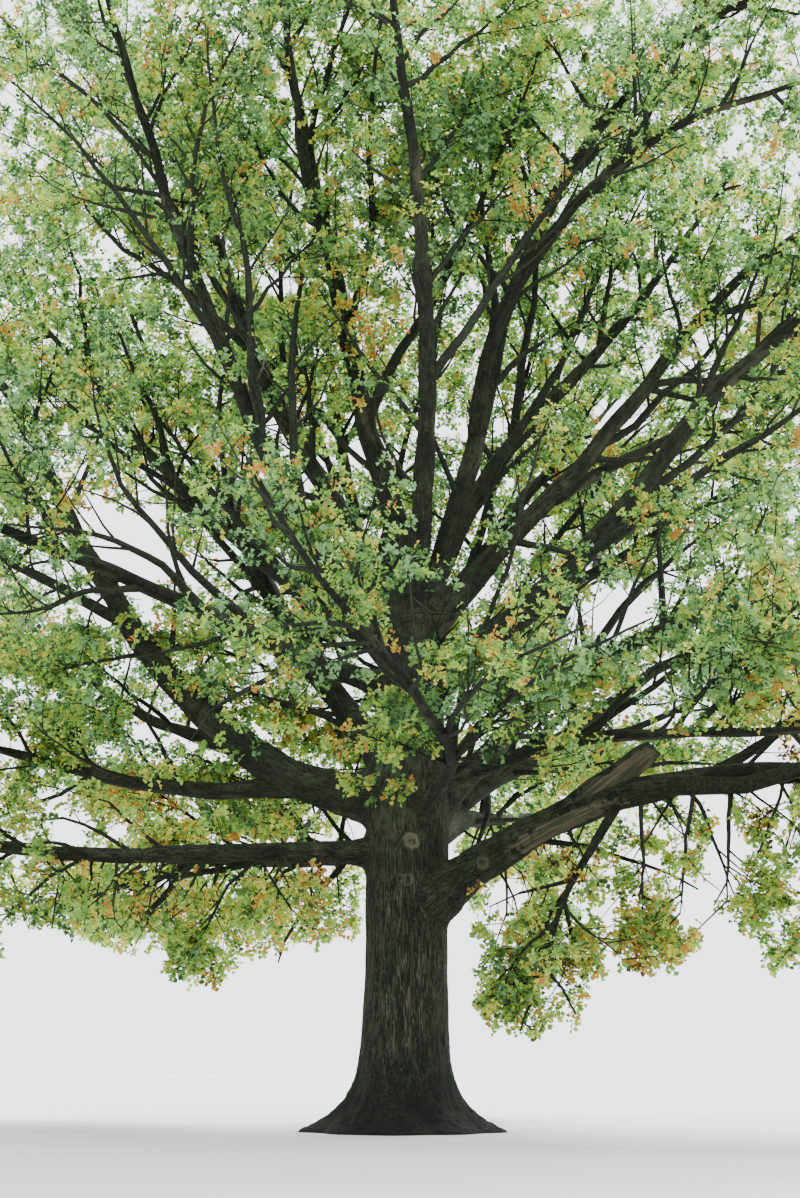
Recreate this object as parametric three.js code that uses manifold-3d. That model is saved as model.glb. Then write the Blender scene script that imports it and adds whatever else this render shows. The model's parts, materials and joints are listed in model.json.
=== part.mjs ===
// A broad oak in autumn leaf: a short flared trunk, a fan of limbs from its fork,
// low spreading boughs, and masses of leafy twigs that fill out a round crown.
// Sizes are in metres here, and the finished solids are in millimetres.
// The trunk stands on its flat cut at the origin, +Z is up, and the side seen
// from the front faces -Y. A bearing is in degrees: 0 points to +X, 90 to +Y.

import * as THREE from "three";
import { mergeVertices } from "three/addons/utils/BufferGeometryUtils.js";
import Module from "manifold-3d";

const wasm = await Module();
wasm.setup();

const MM_PER_M = 1000;
const GAP = 0.0003;

// The trunk: its shaft, its lean, its flare, and the toes of that flare
const TRUNK = {
  lean: 0.014,
  topHeight: 8.3,
  sides: 24,
  shaft: [
    [0, 0.63],
    [2.4, 0.62],
    [4.4, 0.63],
    [5.8, 0.55],
    [7.2, 0.48],
    [8.0, 0.38],
    [8.3, 0.2],
  ],
  rings: [0, 0.1, 0.22, 0.37, 0.56, 0.85, 1.25, 1.9, 2.7, 3.5, 4.4, 5.2, 6.0, 6.8, 7.5, 8.0, 8.3],
  flareReach: 0.62,
  flareHeight: 0.34,
  toeWidth: 17,
};
const TOES = [
  { bearing: 183, reach: 0.36 },
  { bearing: 228, reach: 0.2 },
  { bearing: 262, reach: 0.26 },
  { bearing: 303, reach: 0.18 },
  { bearing: 350, reach: 0.32 },
  { bearing: 35, reach: 0.22 },
  { bearing: 85, reach: 0.3 },
  { bearing: 138, reach: 0.24 },
];

// How every limb is drawn out
const LIMB = {
  steps: 48,
  tipRadius: 0.028,
  swell: 0.35,
  swellReach: 0.35,
  waver: 3,
  sides: 7,
  clearance: 0.07,
};

// The limbs. at: height of the start on the trunk in metres, or share of the
// parent's length. rise: degrees above level at the start. turn and bend: how far
// bearing and rise change from start to tip. bow: extra rise halfway. bare: share
// of the length that stays bare. hang: how far its twigs droop. spray: the size of
// its twigs and sprays, 1 where it isn't given.
const LIMBS = [
  { name: "low_left", from: "trunk", at: 3.98, bearing: 188.2, rise: 1.4, turn: 1.8, bend: 7.5, bow: -5.3,
    length: 10.2, base: 0.17, bare: 0.24, hang: 0.8, spray: 0.85 },
  { name: "left_rising", from: "trunk", at: 4.9, bearing: 159.1, rise: -7.6, turn: 45.3, bend: 43.5, bow: 45.1,
    length: 12.4, base: 0.33, bare: 0.55, hang: 0 },
  { name: "left_low_arm", from: "left_rising", at: 0.142, bearing: 158.7, rise: -2, turn: 3.1, bend: 29.9, bow: 1.2,
    length: 8.4, base: 0.15, bare: 0.45, hang: 0.3 },
  { name: "left_mid", from: "left_rising", at: 0.224, bearing: 128.2, rise: 10.2, turn: 22.7, bend: 16.9, bow: 10,
    length: 7.8, base: 0.13, bare: 0.4, hang: 0.1 },
  { name: "left_high", from: "trunk", at: 6.5, bearing: 213.3, rise: 6.5, turn: 4.1, bend: -2, bow: 8.4,
    length: 10, base: 0.17, bare: 0.5, hang: 0.2 },
  { name: "rear_left", from: "trunk", at: 4.76, bearing: 120, rise: 45.3, turn: 32.2, bend: 22.7, bow: -3.2,
    length: 14, base: 0.25, bare: 0.56, hang: 0 },
  { name: "fan_far_left", from: "trunk", at: 7.08, bearing: 148.2, rise: 22.1, turn: 15.8, bend: 19.5, bow: 16.2,
    length: 11.6, base: 0.17, bare: 0.52, hang: 0 },
  { name: "fan_left", from: "trunk", at: 6.92, bearing: 215, rise: 37.2, turn: 19.8, bend: 22.2, bow: 12,
    length: 12, base: 0.18, bare: 0.54, hang: 0 },
  { name: "fan_left_up", from: "trunk", at: 7.69, bearing: 182.1, rise: 50.5, turn: -43.5, bend: -0.8, bow: 18.2,
    length: 12.4, base: 0.19, bare: 0.55, hang: 0 },
  { name: "fan_up_rear", from: "trunk", at: 6.94, bearing: 107.5, rise: 20.1, turn: 2.5, bend: 34.6, bow: 29,
    length: 12.4, base: 0.19, bare: 0.52, hang: 0 },
  { name: "fan_up", from: "trunk", at: 7.9, bearing: 212.5, rise: 80.7, turn: -4.6, bend: 23.2, bow: -17.5,
    length: 12.6, base: 0.2, bare: 0.56, hang: 0 },
  { name: "fan_front", from: "trunk", at: 7.63, bearing: 284.1, rise: 48.7, turn: -47, bend: 24.7, bow: 1.7,
    length: 10.8, base: 0.19, bare: 0.6, hang: 0 },
  { name: "fan_right_up", from: "trunk", at: 7.57, bearing: 328.1, rise: 58.1, turn: 7.2, bend: -72.3, bow: 43,
    length: 13, base: 0.19, bare: 0.58, hang: 0 },
  { name: "fan_right_arch", from: "fan_right_up", at: 0.245, bearing: 273.8, rise: 64.6, turn: 72.1, bend: -51.7,
    bow: -22.4, length: 8.6, base: 0.12, bare: 0.5, hang: 0 },
  { name: "fan_right_rear", from: "trunk", at: 7.02, bearing: 38.1, rise: 71.1, turn: -14.8, bend: -10.9, bow: -15.8,
    length: 13, base: 0.2, bare: 0.54, hang: 0 },
  { name: "fan_far_rear", from: "trunk", at: 7.13, bearing: 63.1, rise: 39.3, turn: -6.6, bend: -4.6, bow: 4,
    length: 11.8, base: 0.2, bare: 0.5, hang: 0 },
  { name: "fan_right", from: "trunk", at: 7.2, bearing: 357.6, rise: 40.6, turn: 12.2, bend: -30, bow: 24.6,
    length: 12.8, base: 0.19, bare: 0.55, hang: 0 },
  { name: "right_fork", from: "fan_right", at: 0.263, bearing: 31.4, rise: 30.5, turn: 3.9, bend: -9.9, bow: 1.1,
    length: 7.4, base: 0.11, bare: 0.4, hang: 0 },
  { name: "right_high", from: "trunk", at: 6.38, bearing: 341, rise: 29.4, turn: -5.5, bend: -42.7, bow: 33.8,
    length: 12.4, base: 0.23, bare: 0.54, hang: 0.1 },
  { name: "right_rear", from: "trunk", at: 6.74, bearing: 48.8, rise: 26.8, turn: -28.4, bend: 2.2, bow: 4.1,
    length: 11, base: 0.16, bare: 0.5, hang: 0 },
  { name: "right_third", from: "trunk", at: 4.31, bearing: 20.7, rise: 46.4, turn: -29.5, bend: -85.4, bow: 20,
    length: 11, base: 0.21, bare: 0.5, hang: 0.3 },
  { name: "right_second", from: "trunk", at: 4.34, bearing: 42.8, rise: 24, turn: -13.6, bend: -16.3, bow: 15,
    length: 11, base: 0.2, bare: 0.5, hang: 0.2 },
  { name: "low_right", from: "trunk", at: 3.07, bearing: 329.3, rise: 29.5, turn: 18.6, bend: -68.1, bow: 9.3,
    length: 10.8, base: 0.3, bare: 0.45, hang: 0.8 },
  { name: "low_right_droop", from: "low_right", at: 0.36, bearing: 210, rise: -46, turn: 0, bend: -28, bow: 0,
    length: 3.2, base: 0.07, bare: 0.36, hang: 0.5, spray: 0.6 },
  { name: "front_left", from: "trunk", at: 4.52, bearing: 296.1, rise: 10.1, turn: -90.8, bend: 58.3, bow: -24.9,
    length: 9, base: 0.11, bare: 0.6, hang: 0.1, spray: 0.7 },
  { name: "front_right", from: "trunk", at: 4.9, bearing: 314.4, rise: 8.6, turn: -8.3, bend: -25.3, bow: 1.1,
    length: 9, base: 0.13, bare: 0.28, hang: -0.35, spray: 0.85 },
  { name: "rear_low_left", from: "trunk", at: 4.1, bearing: 114, rise: 4, turn: 32, bend: -13, bow: 5,
    length: 10.4, base: 0.2, bare: 0.3, hang: 1, spray: 0.9 },
  { name: "rear_low_right", from: "trunk", at: 4.1, bearing: 70, rise: 12, turn: 6, bend: -16, bow: 6,
    length: 10.4, base: 0.2, bare: 0.4, hang: 0.9 },
  { name: "rear_mid", from: "trunk", at: 5.9, bearing: 96, rise: 26, turn: -6, bend: -6, bow: 6,
    length: 10.6, base: 0.19, bare: 0.48, hang: 0.2 },
];

// The foliage: twigs off each mass's stem, and the leafy sprays they carry
const SPRAY = {
  seed: 20611,
  twigs: 6,
  tries: 30,
  twigLength: 2.9,
  twigRadius: 0.036,
  spread: [38, 64],
  stepAround: 137.5,
  bladeLength: 1.75,
  bladeHalfWidth: 0.56,
  bladeHalfThick: 0.035,
  sideBlades: 2,
  apart: 0.09,
  stemSides: 4,
  stemRings: 4,
  spaceMargin: 0.16,
  limbMargin: 0.12,
  lowest: 1.35,
};

const BARK = { color: 0x3f3a2c, roughness: 0.95, metalness: 0 };
const LEAF_TINTS = [0x6f8436, 0x7c8d3a, 0x5f7a39, 0x93923a, 0xa98a35];

// A ring of three corners reaches this share of its radius to either side
const THREE_SIDED = Math.sin(Math.PI / 3);
const UP = new THREE.Vector3(0, 0, 1);
const radians = THREE.MathUtils.degToRad;

function seeded(seed) {
  let state = seed;
  const next = () => {
    state = (state * 48271) % 2147483647;
    return state / 2147483647;
  };
  for (let i = 0; i < 5; i += 1) next();
  return next;
}

function perpendicular(vector, direction) {
  return vector.clone().addScaledVector(direction, -vector.dot(direction)).normalize();
}

// Radius of the trunk's shaft alone at a height
function shaftRadius(z) {
  const stations = TRUNK.shaft;
  for (let i = 1; i < stations.length; i += 1) {
    const [z0, r0] = stations[i - 1];
    const [z1, r1] = stations[i];
    if (z <= z1) return r0 + ((r1 - r0) * (z - z0)) / (z1 - z0);
  }
  return stations[stations.length - 1][1];
}

// Radius with the root flare, which is longest along each toe
function trunkRadius(z, bearing) {
  let reach = TRUNK.flareReach;
  for (const toe of TOES) {
    const away = ((((bearing - toe.bearing) % 360) + 540) % 360) - 180;
    reach += toe.reach * Math.exp(-((away / TRUNK.toeWidth) ** 2));
  }
  return shaftRadius(z) + reach * Math.exp(-z / TRUNK.flareHeight);
}

function trunkCentre(z) {
  return new THREE.Vector3(TRUNK.lean * z, 0, z);
}

// One limb's course: its points, directions and a side vector that never twists
function drawLimb(spec, index, parent) {
  const start = parent ? pointOn(parent, spec.at) : trunkCentre(spec.at);
  const phase = (index * 0.618034) % 1;
  const directionAt = (s) => {
    const swing = Math.sin(2 * Math.PI * (1.3 * s + phase));
    const lift = Math.sin(2 * Math.PI * (1.7 * s + 0.37 + phase));
    const bearing = radians(spec.bearing + spec.turn * s + LIMB.waver * swing);
    const rise = radians(spec.rise + spec.bend * s + spec.bow * 4 * s * (1 - s) + LIMB.waver * lift);
    const level = Math.cos(rise);
    return new THREE.Vector3(level * Math.cos(bearing), level * Math.sin(bearing), Math.sin(rise));
  };
  const points = [start];
  for (let i = 0; i < LIMB.steps; i += 1) {
    const step = directionAt((i + 0.5) / LIMB.steps).multiplyScalar(spec.length / LIMB.steps);
    points.push(points[i].clone().add(step));
  }
  const sides = [perpendicular(new THREE.Vector3(0.31, 0.17, 1), directionAt(0))];
  for (let i = 1; i <= LIMB.steps; i += 1) sides.push(perpendicular(sides[i - 1], directionAt(i / LIMB.steps)));
  const host = parent ? radiusOn(parent, spec.at) : shaftRadius(spec.at);
  return { spray: 1, ...spec, index, parent, directionAt, points, sides, host };
}

function pointOn(limb, s) {
  const place = Math.min(Math.max(s, 0), 1) * LIMB.steps;
  const i = Math.min(Math.floor(place), LIMB.steps - 1);
  return limb.points[i].clone().lerp(limb.points[i + 1], place - i);
}

function sideOn(limb, s) {
  const i = Math.min(Math.floor(s * LIMB.steps), LIMB.steps - 1);
  return perpendicular(limb.sides[i], limb.directionAt(s));
}

function radiusOn(limb, s) {
  const plain = limb.base * (1 - s) + LIMB.tipRadius * s;
  const out = Math.max(s * limb.length - limb.host, 0);
  return plain * (1 + LIMB.swell * Math.exp(-out / LIMB.swellReach));
}

// Shortest distance between two straight segments
function segmentDistance(p0, p1, q0, q1) {
  const d1 = p1.clone().sub(p0);
  const d2 = q1.clone().sub(q0);
  const r = p0.clone().sub(q0);
  const a = d1.dot(d1);
  const e = d2.dot(d2);
  const f = d2.dot(r);
  const c = d1.dot(r);
  const b = d1.dot(d2);
  const denominator = a * e - b * b;
  const clamp = THREE.MathUtils.clamp;
  let s = denominator > 1e-12 ? clamp((b * f - c * e) / denominator, 0, 1) : 0;
  let t = e > 1e-12 ? (b * s + f) / e : 0;
  if (t < 0) {
    t = 0;
    s = clamp(-c / a, 0, 1);
  } else if (t > 1) {
    t = 1;
    s = clamp((b - c) / a, 0, 1);
  }
  return p0.clone().addScaledVector(d1, s).distanceTo(q0.clone().addScaledVector(d2, t));
}

function isDescendant(limb, other) {
  for (let up = limb.parent; up; up = up.parent) if (up === other) return true;
  return false;
}

// Share of a limb's length past which it is clear of every other limb and the trunk
function clearShare(limb, limbs) {
  let last = 0;
  for (let i = 1; i <= LIMB.steps; i += 1) {
    const s = i / LIMB.steps;
    const [p0, p1] = [limb.points[i - 1], limb.points[i]];
    const own = radiusOn(limb, s);
    const shaft = p1.z < TRUNK.topHeight ? shaftRadius(Math.max(p1.z, 0)) : 0;
    if (Math.hypot(p1.x - TRUNK.lean * p1.z, p1.y) < shaft + own + LIMB.clearance) last = s;
    for (const other of limbs) {
      if (other === limb || isDescendant(other, limb)) continue;
      const near = own + LIMB.clearance;
      for (let j = 1; j <= LIMB.steps; j += 1) {
        const [q0, q1] = [other.points[j - 1], other.points[j]];
        const reach = near + radiusOn(other, (j - 1) / LIMB.steps);
        if (q0.distanceTo(p0) > reach + 1) continue;
        if (segmentDistance(p0, p1, q0, q1) < reach) {
          last = s;
          break;
        }
      }
    }
  }
  return last + 0.25 / limb.length;
}

// Makes a solid from a closed geometry whose shared corners are merged first
function solidFrom(geometry) {
  geometry.deleteAttribute("normal");
  geometry.deleteAttribute("uv");
  const merged = mergeVertices(geometry, 1e-6);
  const triangles = [];
  const index = merged.index.array;
  for (let i = 0; i < index.length; i += 3) {
    const [a, b, c] = [index[i], index[i + 1], index[i + 2]];
    if (a !== b && b !== c && c !== a) triangles.push(a, b, c);
  }
  const mesh = new wasm.Mesh({
    numProp: 3,
    vertProperties: new Float32Array(merged.attributes.position.array),
    triVerts: new Uint32Array(triangles),
  });
  return new wasm.Manifold(mesh);
}

// A cylinder of unit radius whose rings are moved to a place and size of their own
function sweptSolid(sides, rings, pointed, place) {
  const geometry = new THREE.CylinderGeometry(pointed ? 0 : 1, 1, 1, sides, rings);
  const position = geometry.attributes.position;
  for (let i = 0; i < position.count; i += 1) {
    const x = position.getX(i);
    const z = position.getZ(i);
    const ring = Math.round((position.getY(i) + 0.5) * rings);
    const round = Math.hypot(x, z);
    const scale = round > 1e-6 ? 1 / round : 0;
    const spot = place(ring, -x * scale, z * scale).multiplyScalar(MM_PER_M);
    position.setXYZ(i, spot.x, spot.y, spot.z);
  }
  return solidFrom(geometry);
}

function limbSolid(limb, from, to, sides, rings, pointed = false) {
  return sweptSolid(sides, rings, pointed, (ring, across, over) => {
    const s = from + ((to - from) * ring) / rings;
    const direction = limb.directionAt(s);
    const side = sideOn(limb, s);
    const other = direction.clone().cross(side);
    const radius = pointed && ring === rings ? 0 : radiusOn(limb, s);
    return pointOn(limb, s).addScaledVector(side, across * radius).addScaledVector(other, over * radius);
  });
}

function trunkSolid(limbs) {
  const rings = TRUNK.rings.length - 1;
  let solid = sweptSolid(TRUNK.sides, rings, false, (ring, across, over) => {
    const z = TRUNK.rings[ring];
    const bearing = THREE.MathUtils.radToDeg(Math.atan2(over, across));
    const radius = trunkRadius(z, bearing);
    return trunkCentre(z).add(new THREE.Vector3(across * radius, over * radius, 0));
  });
  for (const limb of limbs) {
    if (!limb.parent) solid = solid.add(limbSolid(limb, 0.006, limb.clear, LIMB.sides, collarRings(limb)));
  }
  return solid;
}

function collarRings(limb) {
  return Math.max(2, Math.round((limb.clear * limb.length) / 0.9));
}

function boughSolid(limb, limbs) {
  const from = limb.clear + GAP / limb.length;
  const rings = Math.max(2, Math.round(((limb.bare - from) * limb.length) / 1.35));
  let solid = limbSolid(limb, from, limb.bare, LIMB.sides, rings);
  for (const child of limbs) {
    if (child.parent === limb) solid = solid.add(limbSolid(child, 0.004, child.clear, LIMB.sides, 2));
  }
  return solid;
}

// A twig's course with its blade: root, neck, widest place and tip
function twigCourse(limb, s, around, spread, length, hang) {
  const root = pointOn(limb, s);
  const direction = limb.directionAt(s);
  const side = sideOn(limb, s);
  const other = direction.clone().cross(side);
  const outward = side.multiplyScalar(Math.cos(around)).addScaledVector(other, Math.sin(around));
  const heading = direction.multiplyScalar(Math.cos(spread)).addScaledVector(outward, Math.sin(spread));
  const tip = heading.clone().addScaledVector(UP, 0.25 - hang).normalize();
  const reach = SPRAY.bladeLength * limb.spray;
  const neck = root.clone().addScaledVector(heading, length - reach);
  const widest = neck.clone().addScaledVector(tip, reach * 0.48);
  const end = neck.clone().addScaledVector(tip, reach);
  return { root, neck, widest, end, heading, tip, size: limb.spray };
}

function bladeNormal(direction, rand) {
  const lean = new THREE.Vector3(rand() - 0.5, rand() - 0.5, rand() * 0.7);
  return perpendicular(lean, direction);
}

// The blade's outline as segments, for the tests of its space
function bladeSegments(blade) {
  const across = blade.normal.clone().cross(blade.tip).normalize().multiplyScalar(SPRAY.bladeHalfWidth * blade.size);
  const left = blade.widest.clone().add(across);
  const right = blade.widest.clone().sub(across);
  const { neck, end } = blade;
  return [[neck, left], [left, end], [neck, right], [right, end], [left, right], [neck, end]];
}

function distanceToLimb(p0, p1, limb, from) {
  let best = Infinity;
  for (let j = Math.floor(from * LIMB.steps) + 1; j <= LIMB.steps; j += 1) {
    const [q0, q1] = [limb.points[j - 1], limb.points[j]];
    if (q0.distanceTo(p0) > best + 4) continue;
    best = Math.min(best, segmentDistance(p0, p1, q0, q1) - radiusOn(limb, (j - 1) / LIMB.steps));
  }
  return best;
}

// True where a segment keeps to its own mass's space and touches no limb
function keepsClear(p0, p1, radius, limb, limbs) {
  if (Math.min(p0.z, p1.z) < SPRAY.lowest) return false;
  const own = distanceToLimb(p0, p1, limb, limb.bare);
  for (const other of limbs) {
    const margin = radius + SPRAY.limbMargin;
    if (other !== limb) {
      const stem = distanceToLimb(p0, p1, other, other.bare);
      if (stem < own + SPRAY.spaceMargin * 2 || stem < margin) return false;
      const wood = distanceToLimb(p0, p1, other, 0);
      if (wood < margin) return false;
    }
  }
  for (let j = 1; j / LIMB.steps < limb.bare - 0.02; j += 1) {
    const reach = radiusOn(limb, (j - 1) / LIMB.steps) + radius + SPRAY.limbMargin;
    if (segmentDistance(p0, p1, limb.points[j - 1], limb.points[j]) < reach) return false;
  }
  const shaft = [trunkCentre(0), trunkCentre(TRUNK.topHeight)];
  return segmentDistance(p0, p1, shaft[0], shaft[1]) > 1.1 + radius;
}

// One mass: a stem on from the bough's tip, twigs round it, a blade on each
// twig's end and more off its sides
function growMass(limb, limbs) {
  const rand = seeded(SPRAY.seed + 7919 * (limb.index + 1));
  const from = limb.bare + GAP / limb.length;
  const mass = { stem: { limb, from }, twigs: [], blades: [] };
  const start = limb.bare + 0.3 / limb.length;
  const taken = stemSegments(limb);
  let kept = 0;
  for (let i = 0; i < SPRAY.tries && kept < SPRAY.twigs; i += 1) {
    const order = (i % SPRAY.twigs) + (i >= SPRAY.twigs ? 0.5 : 0);
    const s = start + ((0.97 - start) * (order + 0.3 + 0.4 * rand())) / SPRAY.twigs;
    const around = radians(SPRAY.stepAround * i + 40 * rand());
    const spread = radians(SPRAY.spread[0] + (SPRAY.spread[1] - SPRAY.spread[0]) * rand());
    const share = (s - limb.bare) / (1 - limb.bare);
    const full = limb.spray * SPRAY.twigLength * (1.12 - 0.3 * share) * (0.9 + 0.2 * rand());
    const hang = limb.hang * (0.6 + 0.6 * rand());
    const lean = seeded(SPRAY.seed + 104729 * (i + 1) + limb.index);
    for (const size of [1, 0.8]) {
      const twig = twigCourse(limb, s, around, spread, full * size, hang);
      twig.normal = bladeNormal(twig.tip, lean);
      const wood = [twig.root.clone().lerp(twig.neck, 0.25), twig.neck];
      const outline = [wood, ...bladeSegments(twig)];
      if (outline.every(([a, b]) => keepsClear(a, b, 0.04, limb, limbs)) && staysApart(outline, taken)) {
        twig.wood = wood;
        mass.twigs.push(twig);
        taken.push(...outline);
        kept += 1;
        break;
      }
    }
  }
  for (const twig of mass.twigs) {
    for (let k = 0; k < SPRAY.sideBlades; k += 1) {
      const at = 0.42 + 0.34 * k + 0.08 * rand();
      const neck = twig.root.clone().lerp(twig.neck, at);
      const turn = (k % 2 ? 1 : -1) * (0.8 + 0.3 * rand());
      const across = twig.normal.clone().cross(twig.heading).normalize();
      const tip = twig.heading.clone().addScaledVector(across, turn * 1.6).addScaledVector(UP, -limb.hang * 0.5);
      tip.normalize();
      const reach = SPRAY.bladeLength * limb.spray;
      const widest = neck.clone().addScaledVector(tip, reach * 0.52);
      const blade = { neck, widest, end: neck.clone().addScaledVector(tip, reach), tip, size: limb.spray };
      blade.normal = bladeNormal(tip, rand);
      const outline = bladeSegments(blade);
      const others = taken.filter(([a]) => a !== twig.wood[0]);
      const off = outline.map(([a, b]) => (a === neck ? [a.clone().lerp(b, 0.15), b] : [a, b]));
      if (outline.every(([a, b]) => keepsClear(a, b, 0.04, limb, limbs)) && staysApart(off, others)) {
        mass.blades.push(blade);
        taken.push(...outline);
      }
    }
  }
  return mass;
}

function stemSegments(limb) {
  const segments = [];
  for (let i = Math.floor(limb.bare * LIMB.steps) + 1; i <= LIMB.steps; i += 3) {
    segments.push([limb.points[i - 1], limb.points[Math.min(i + 2, LIMB.steps)]]);
  }
  return segments;
}

// True where segments stay apart from those that the mass already has
function staysApart(segments, taken) {
  for (const [a, b] of segments) {
    for (const [c, d] of taken) {
      if (segmentDistance(a, b, c, d) < SPRAY.apart) return false;
    }
  }
  return true;
}

function twigSolid(twig) {
  const across = twig.normal.clone().cross(twig.heading).normalize();
  const wide = twig.normal.clone().cross(twig.tip).normalize();
  const rows = [
    [twig.root, across, twig.normal, SPRAY.twigRadius, SPRAY.twigRadius],
    [twig.neck, wide, twig.normal, SPRAY.twigRadius * 0.7, SPRAY.twigRadius * 0.7],
    [twig.widest, wide, twig.normal, SPRAY.bladeHalfWidth * twig.size, SPRAY.bladeHalfThick],
    [twig.end, wide, twig.normal, 0, 0],
  ];
  return sweptSolid(3, 3, true, (ring, a, b) => {
    const [centre, first, second, halfWidth, halfThick] = rows[ring];
    return centre.clone().addScaledVector(first, (a * halfWidth) / THREE_SIDED).addScaledVector(second, b * halfThick);
  });
}

// A side blade is an octahedron drawn out to a kite, its root sunk in the twig
function bladeSolid(blade) {
  const geometry = new THREE.OctahedronGeometry(1);
  const position = geometry.attributes.position;
  const across = blade.normal.clone().cross(blade.tip).normalize();
  const root = blade.neck.clone().addScaledVector(blade.tip, -0.012);
  for (let i = 0; i < position.count; i += 1) {
    const along = position.getX(i);
    const centre = along > 0.5 ? blade.end : along < -0.5 ? root : blade.widest;
    const spot = centre.clone().addScaledVector(across, position.getY(i) * SPRAY.bladeHalfWidth * blade.size);
    spot.addScaledVector(blade.normal, position.getZ(i) * SPRAY.bladeHalfThick).multiplyScalar(MM_PER_M);
    position.setXYZ(i, spot.x, spot.y, spot.z);
  }
  return solidFrom(geometry);
}

// Joins a mass in one solid, with any sealed hollow filled and loose scraps dropped
function massSolid(mass) {
  const { limb, from } = mass.stem;
  let solid = limbSolid(limb, from, 1, SPRAY.stemSides, SPRAY.stemRings);
  for (const twig of mass.twigs) solid = solid.add(twigSolid(twig));
  for (const blade of mass.blades) solid = solid.add(bladeSolid(blade));
  return largestBody(solid);
}

function largestBody(solid) {
  const bodies = solid.decompose();
  bodies.sort((a, b) => b.volume() - a.volume());
  return bodies[0];
}

function meshFrom(name, solid, look) {
  const mesh = solid.getMesh();
  const geometry = new THREE.BufferGeometry();
  geometry.setAttribute("position", new THREE.BufferAttribute(new Float32Array(mesh.vertProperties), 3));
  geometry.setIndex(new THREE.BufferAttribute(new Uint32Array(mesh.triVerts), 1));
  geometry.computeVertexNormals();
  const part = new THREE.Mesh(geometry, new THREE.MeshStandardMaterial(look));
  part.name = name;
  return part;
}

function growTree() {
  const limbs = [];
  LIMBS.forEach((spec, index) => {
    limbs.push(drawLimb(spec, index, limbs.find((other) => other.name === spec.from)));
  });
  for (const limb of limbs) limb.clear = clearShare(limb, limbs);
  const tree = new THREE.Group();
  tree.name = "oak";
  tree.add(meshFrom("trunk", largestBody(trunkSolid(limbs)), BARK));
  for (const limb of limbs) {
    tree.add(meshFrom(`bough_${limb.name}`, largestBody(boughSolid(limb, limbs)), BARK));
  }
  limbs.forEach((limb, index) => {
    const look = { color: LEAF_TINTS[index % LEAF_TINTS.length], roughness: 0.8, metalness: 0 };
    tree.add(meshFrom(`foliage_${limb.name}`, massSolid(growMass(limb, limbs)), look));
  });
  return tree;
}

const group = growTree();

export default group;
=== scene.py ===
"""A broad oak in autumn leaf: flared trunk, fan of limbs, low boughs and a round leafy crown."""

import json
import math

import bpy
import numpy as np
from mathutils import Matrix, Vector, noise

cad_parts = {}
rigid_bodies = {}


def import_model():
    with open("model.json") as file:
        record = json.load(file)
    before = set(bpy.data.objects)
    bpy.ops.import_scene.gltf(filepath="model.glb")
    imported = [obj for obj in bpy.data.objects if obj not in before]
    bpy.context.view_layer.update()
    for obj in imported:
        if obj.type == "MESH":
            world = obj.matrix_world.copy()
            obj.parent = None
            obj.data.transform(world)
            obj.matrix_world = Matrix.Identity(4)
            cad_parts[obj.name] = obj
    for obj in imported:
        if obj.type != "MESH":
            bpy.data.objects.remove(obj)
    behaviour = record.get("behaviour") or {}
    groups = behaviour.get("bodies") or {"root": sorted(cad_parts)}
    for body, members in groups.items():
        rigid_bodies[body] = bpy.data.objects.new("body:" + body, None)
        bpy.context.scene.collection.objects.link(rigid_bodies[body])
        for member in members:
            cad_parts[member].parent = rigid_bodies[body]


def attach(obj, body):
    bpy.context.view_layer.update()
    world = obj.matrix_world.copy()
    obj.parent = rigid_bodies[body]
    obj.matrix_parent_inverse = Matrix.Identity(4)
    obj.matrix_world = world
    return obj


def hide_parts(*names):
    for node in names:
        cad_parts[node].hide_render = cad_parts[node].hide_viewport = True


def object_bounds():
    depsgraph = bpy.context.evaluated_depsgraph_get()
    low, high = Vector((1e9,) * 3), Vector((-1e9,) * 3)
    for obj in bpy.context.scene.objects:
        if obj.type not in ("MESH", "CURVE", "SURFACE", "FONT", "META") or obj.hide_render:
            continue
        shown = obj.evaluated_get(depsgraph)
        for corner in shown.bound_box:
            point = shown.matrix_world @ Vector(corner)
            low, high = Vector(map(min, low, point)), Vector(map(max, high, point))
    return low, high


bl_info = {
    "name": "Broad Oak",
    "version": (1, 0, 0),
    "blender": (4, 5, 0),
    "location": "3D View > Sidebar > Oak",
    "description": "Grows a broad oak with ridged bark and leafy sprays on its fixed frame",
    "category": "Add Mesh",
}

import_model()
CAD_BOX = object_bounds()
BODY = "root"

# The trunk's shaft, lean and flare in metres, and where its mesh has rings and corners
TRUNK = {
    "lean": 0.014,
    "top_height": 8.3,
    "shaft": [(0, 0.63), (2.4, 0.62), (4.4, 0.63), (5.8, 0.55), (7.2, 0.48), (8.0, 0.38), (8.3, 0.2)],
    "flare_reach": 0.62,
    "flare_height": 0.34,
    "toe_width": 17,
    "foot_rings": (0, 1.2, 22),
    "shaft_rings": (1.35, 8.3, 34),
    "corners": 96,
}
# Bearing and length of each toe of the flare
TOES = [(183, 0.36), (228, 0.2), (262, 0.26), (303, 0.18), (350, 0.32), (35, 0.22), (85, 0.3), (138, 0.24)]

# How every limb is drawn out: steps, tip, swollen root, and how it wavers
STEPS = 48
TIP_RADIUS = 0.028
SWELL = 0.35
SWELL_REACH = 0.35
WAVER = 3
SWING_WAVES = 1.3
LIFT_WAVES = 1.7
LIFT_SHIFT = 0.37
PHASE_STEP = 0.618034
SIDE_SEED = (0.31, 0.17, 1.0)

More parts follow.
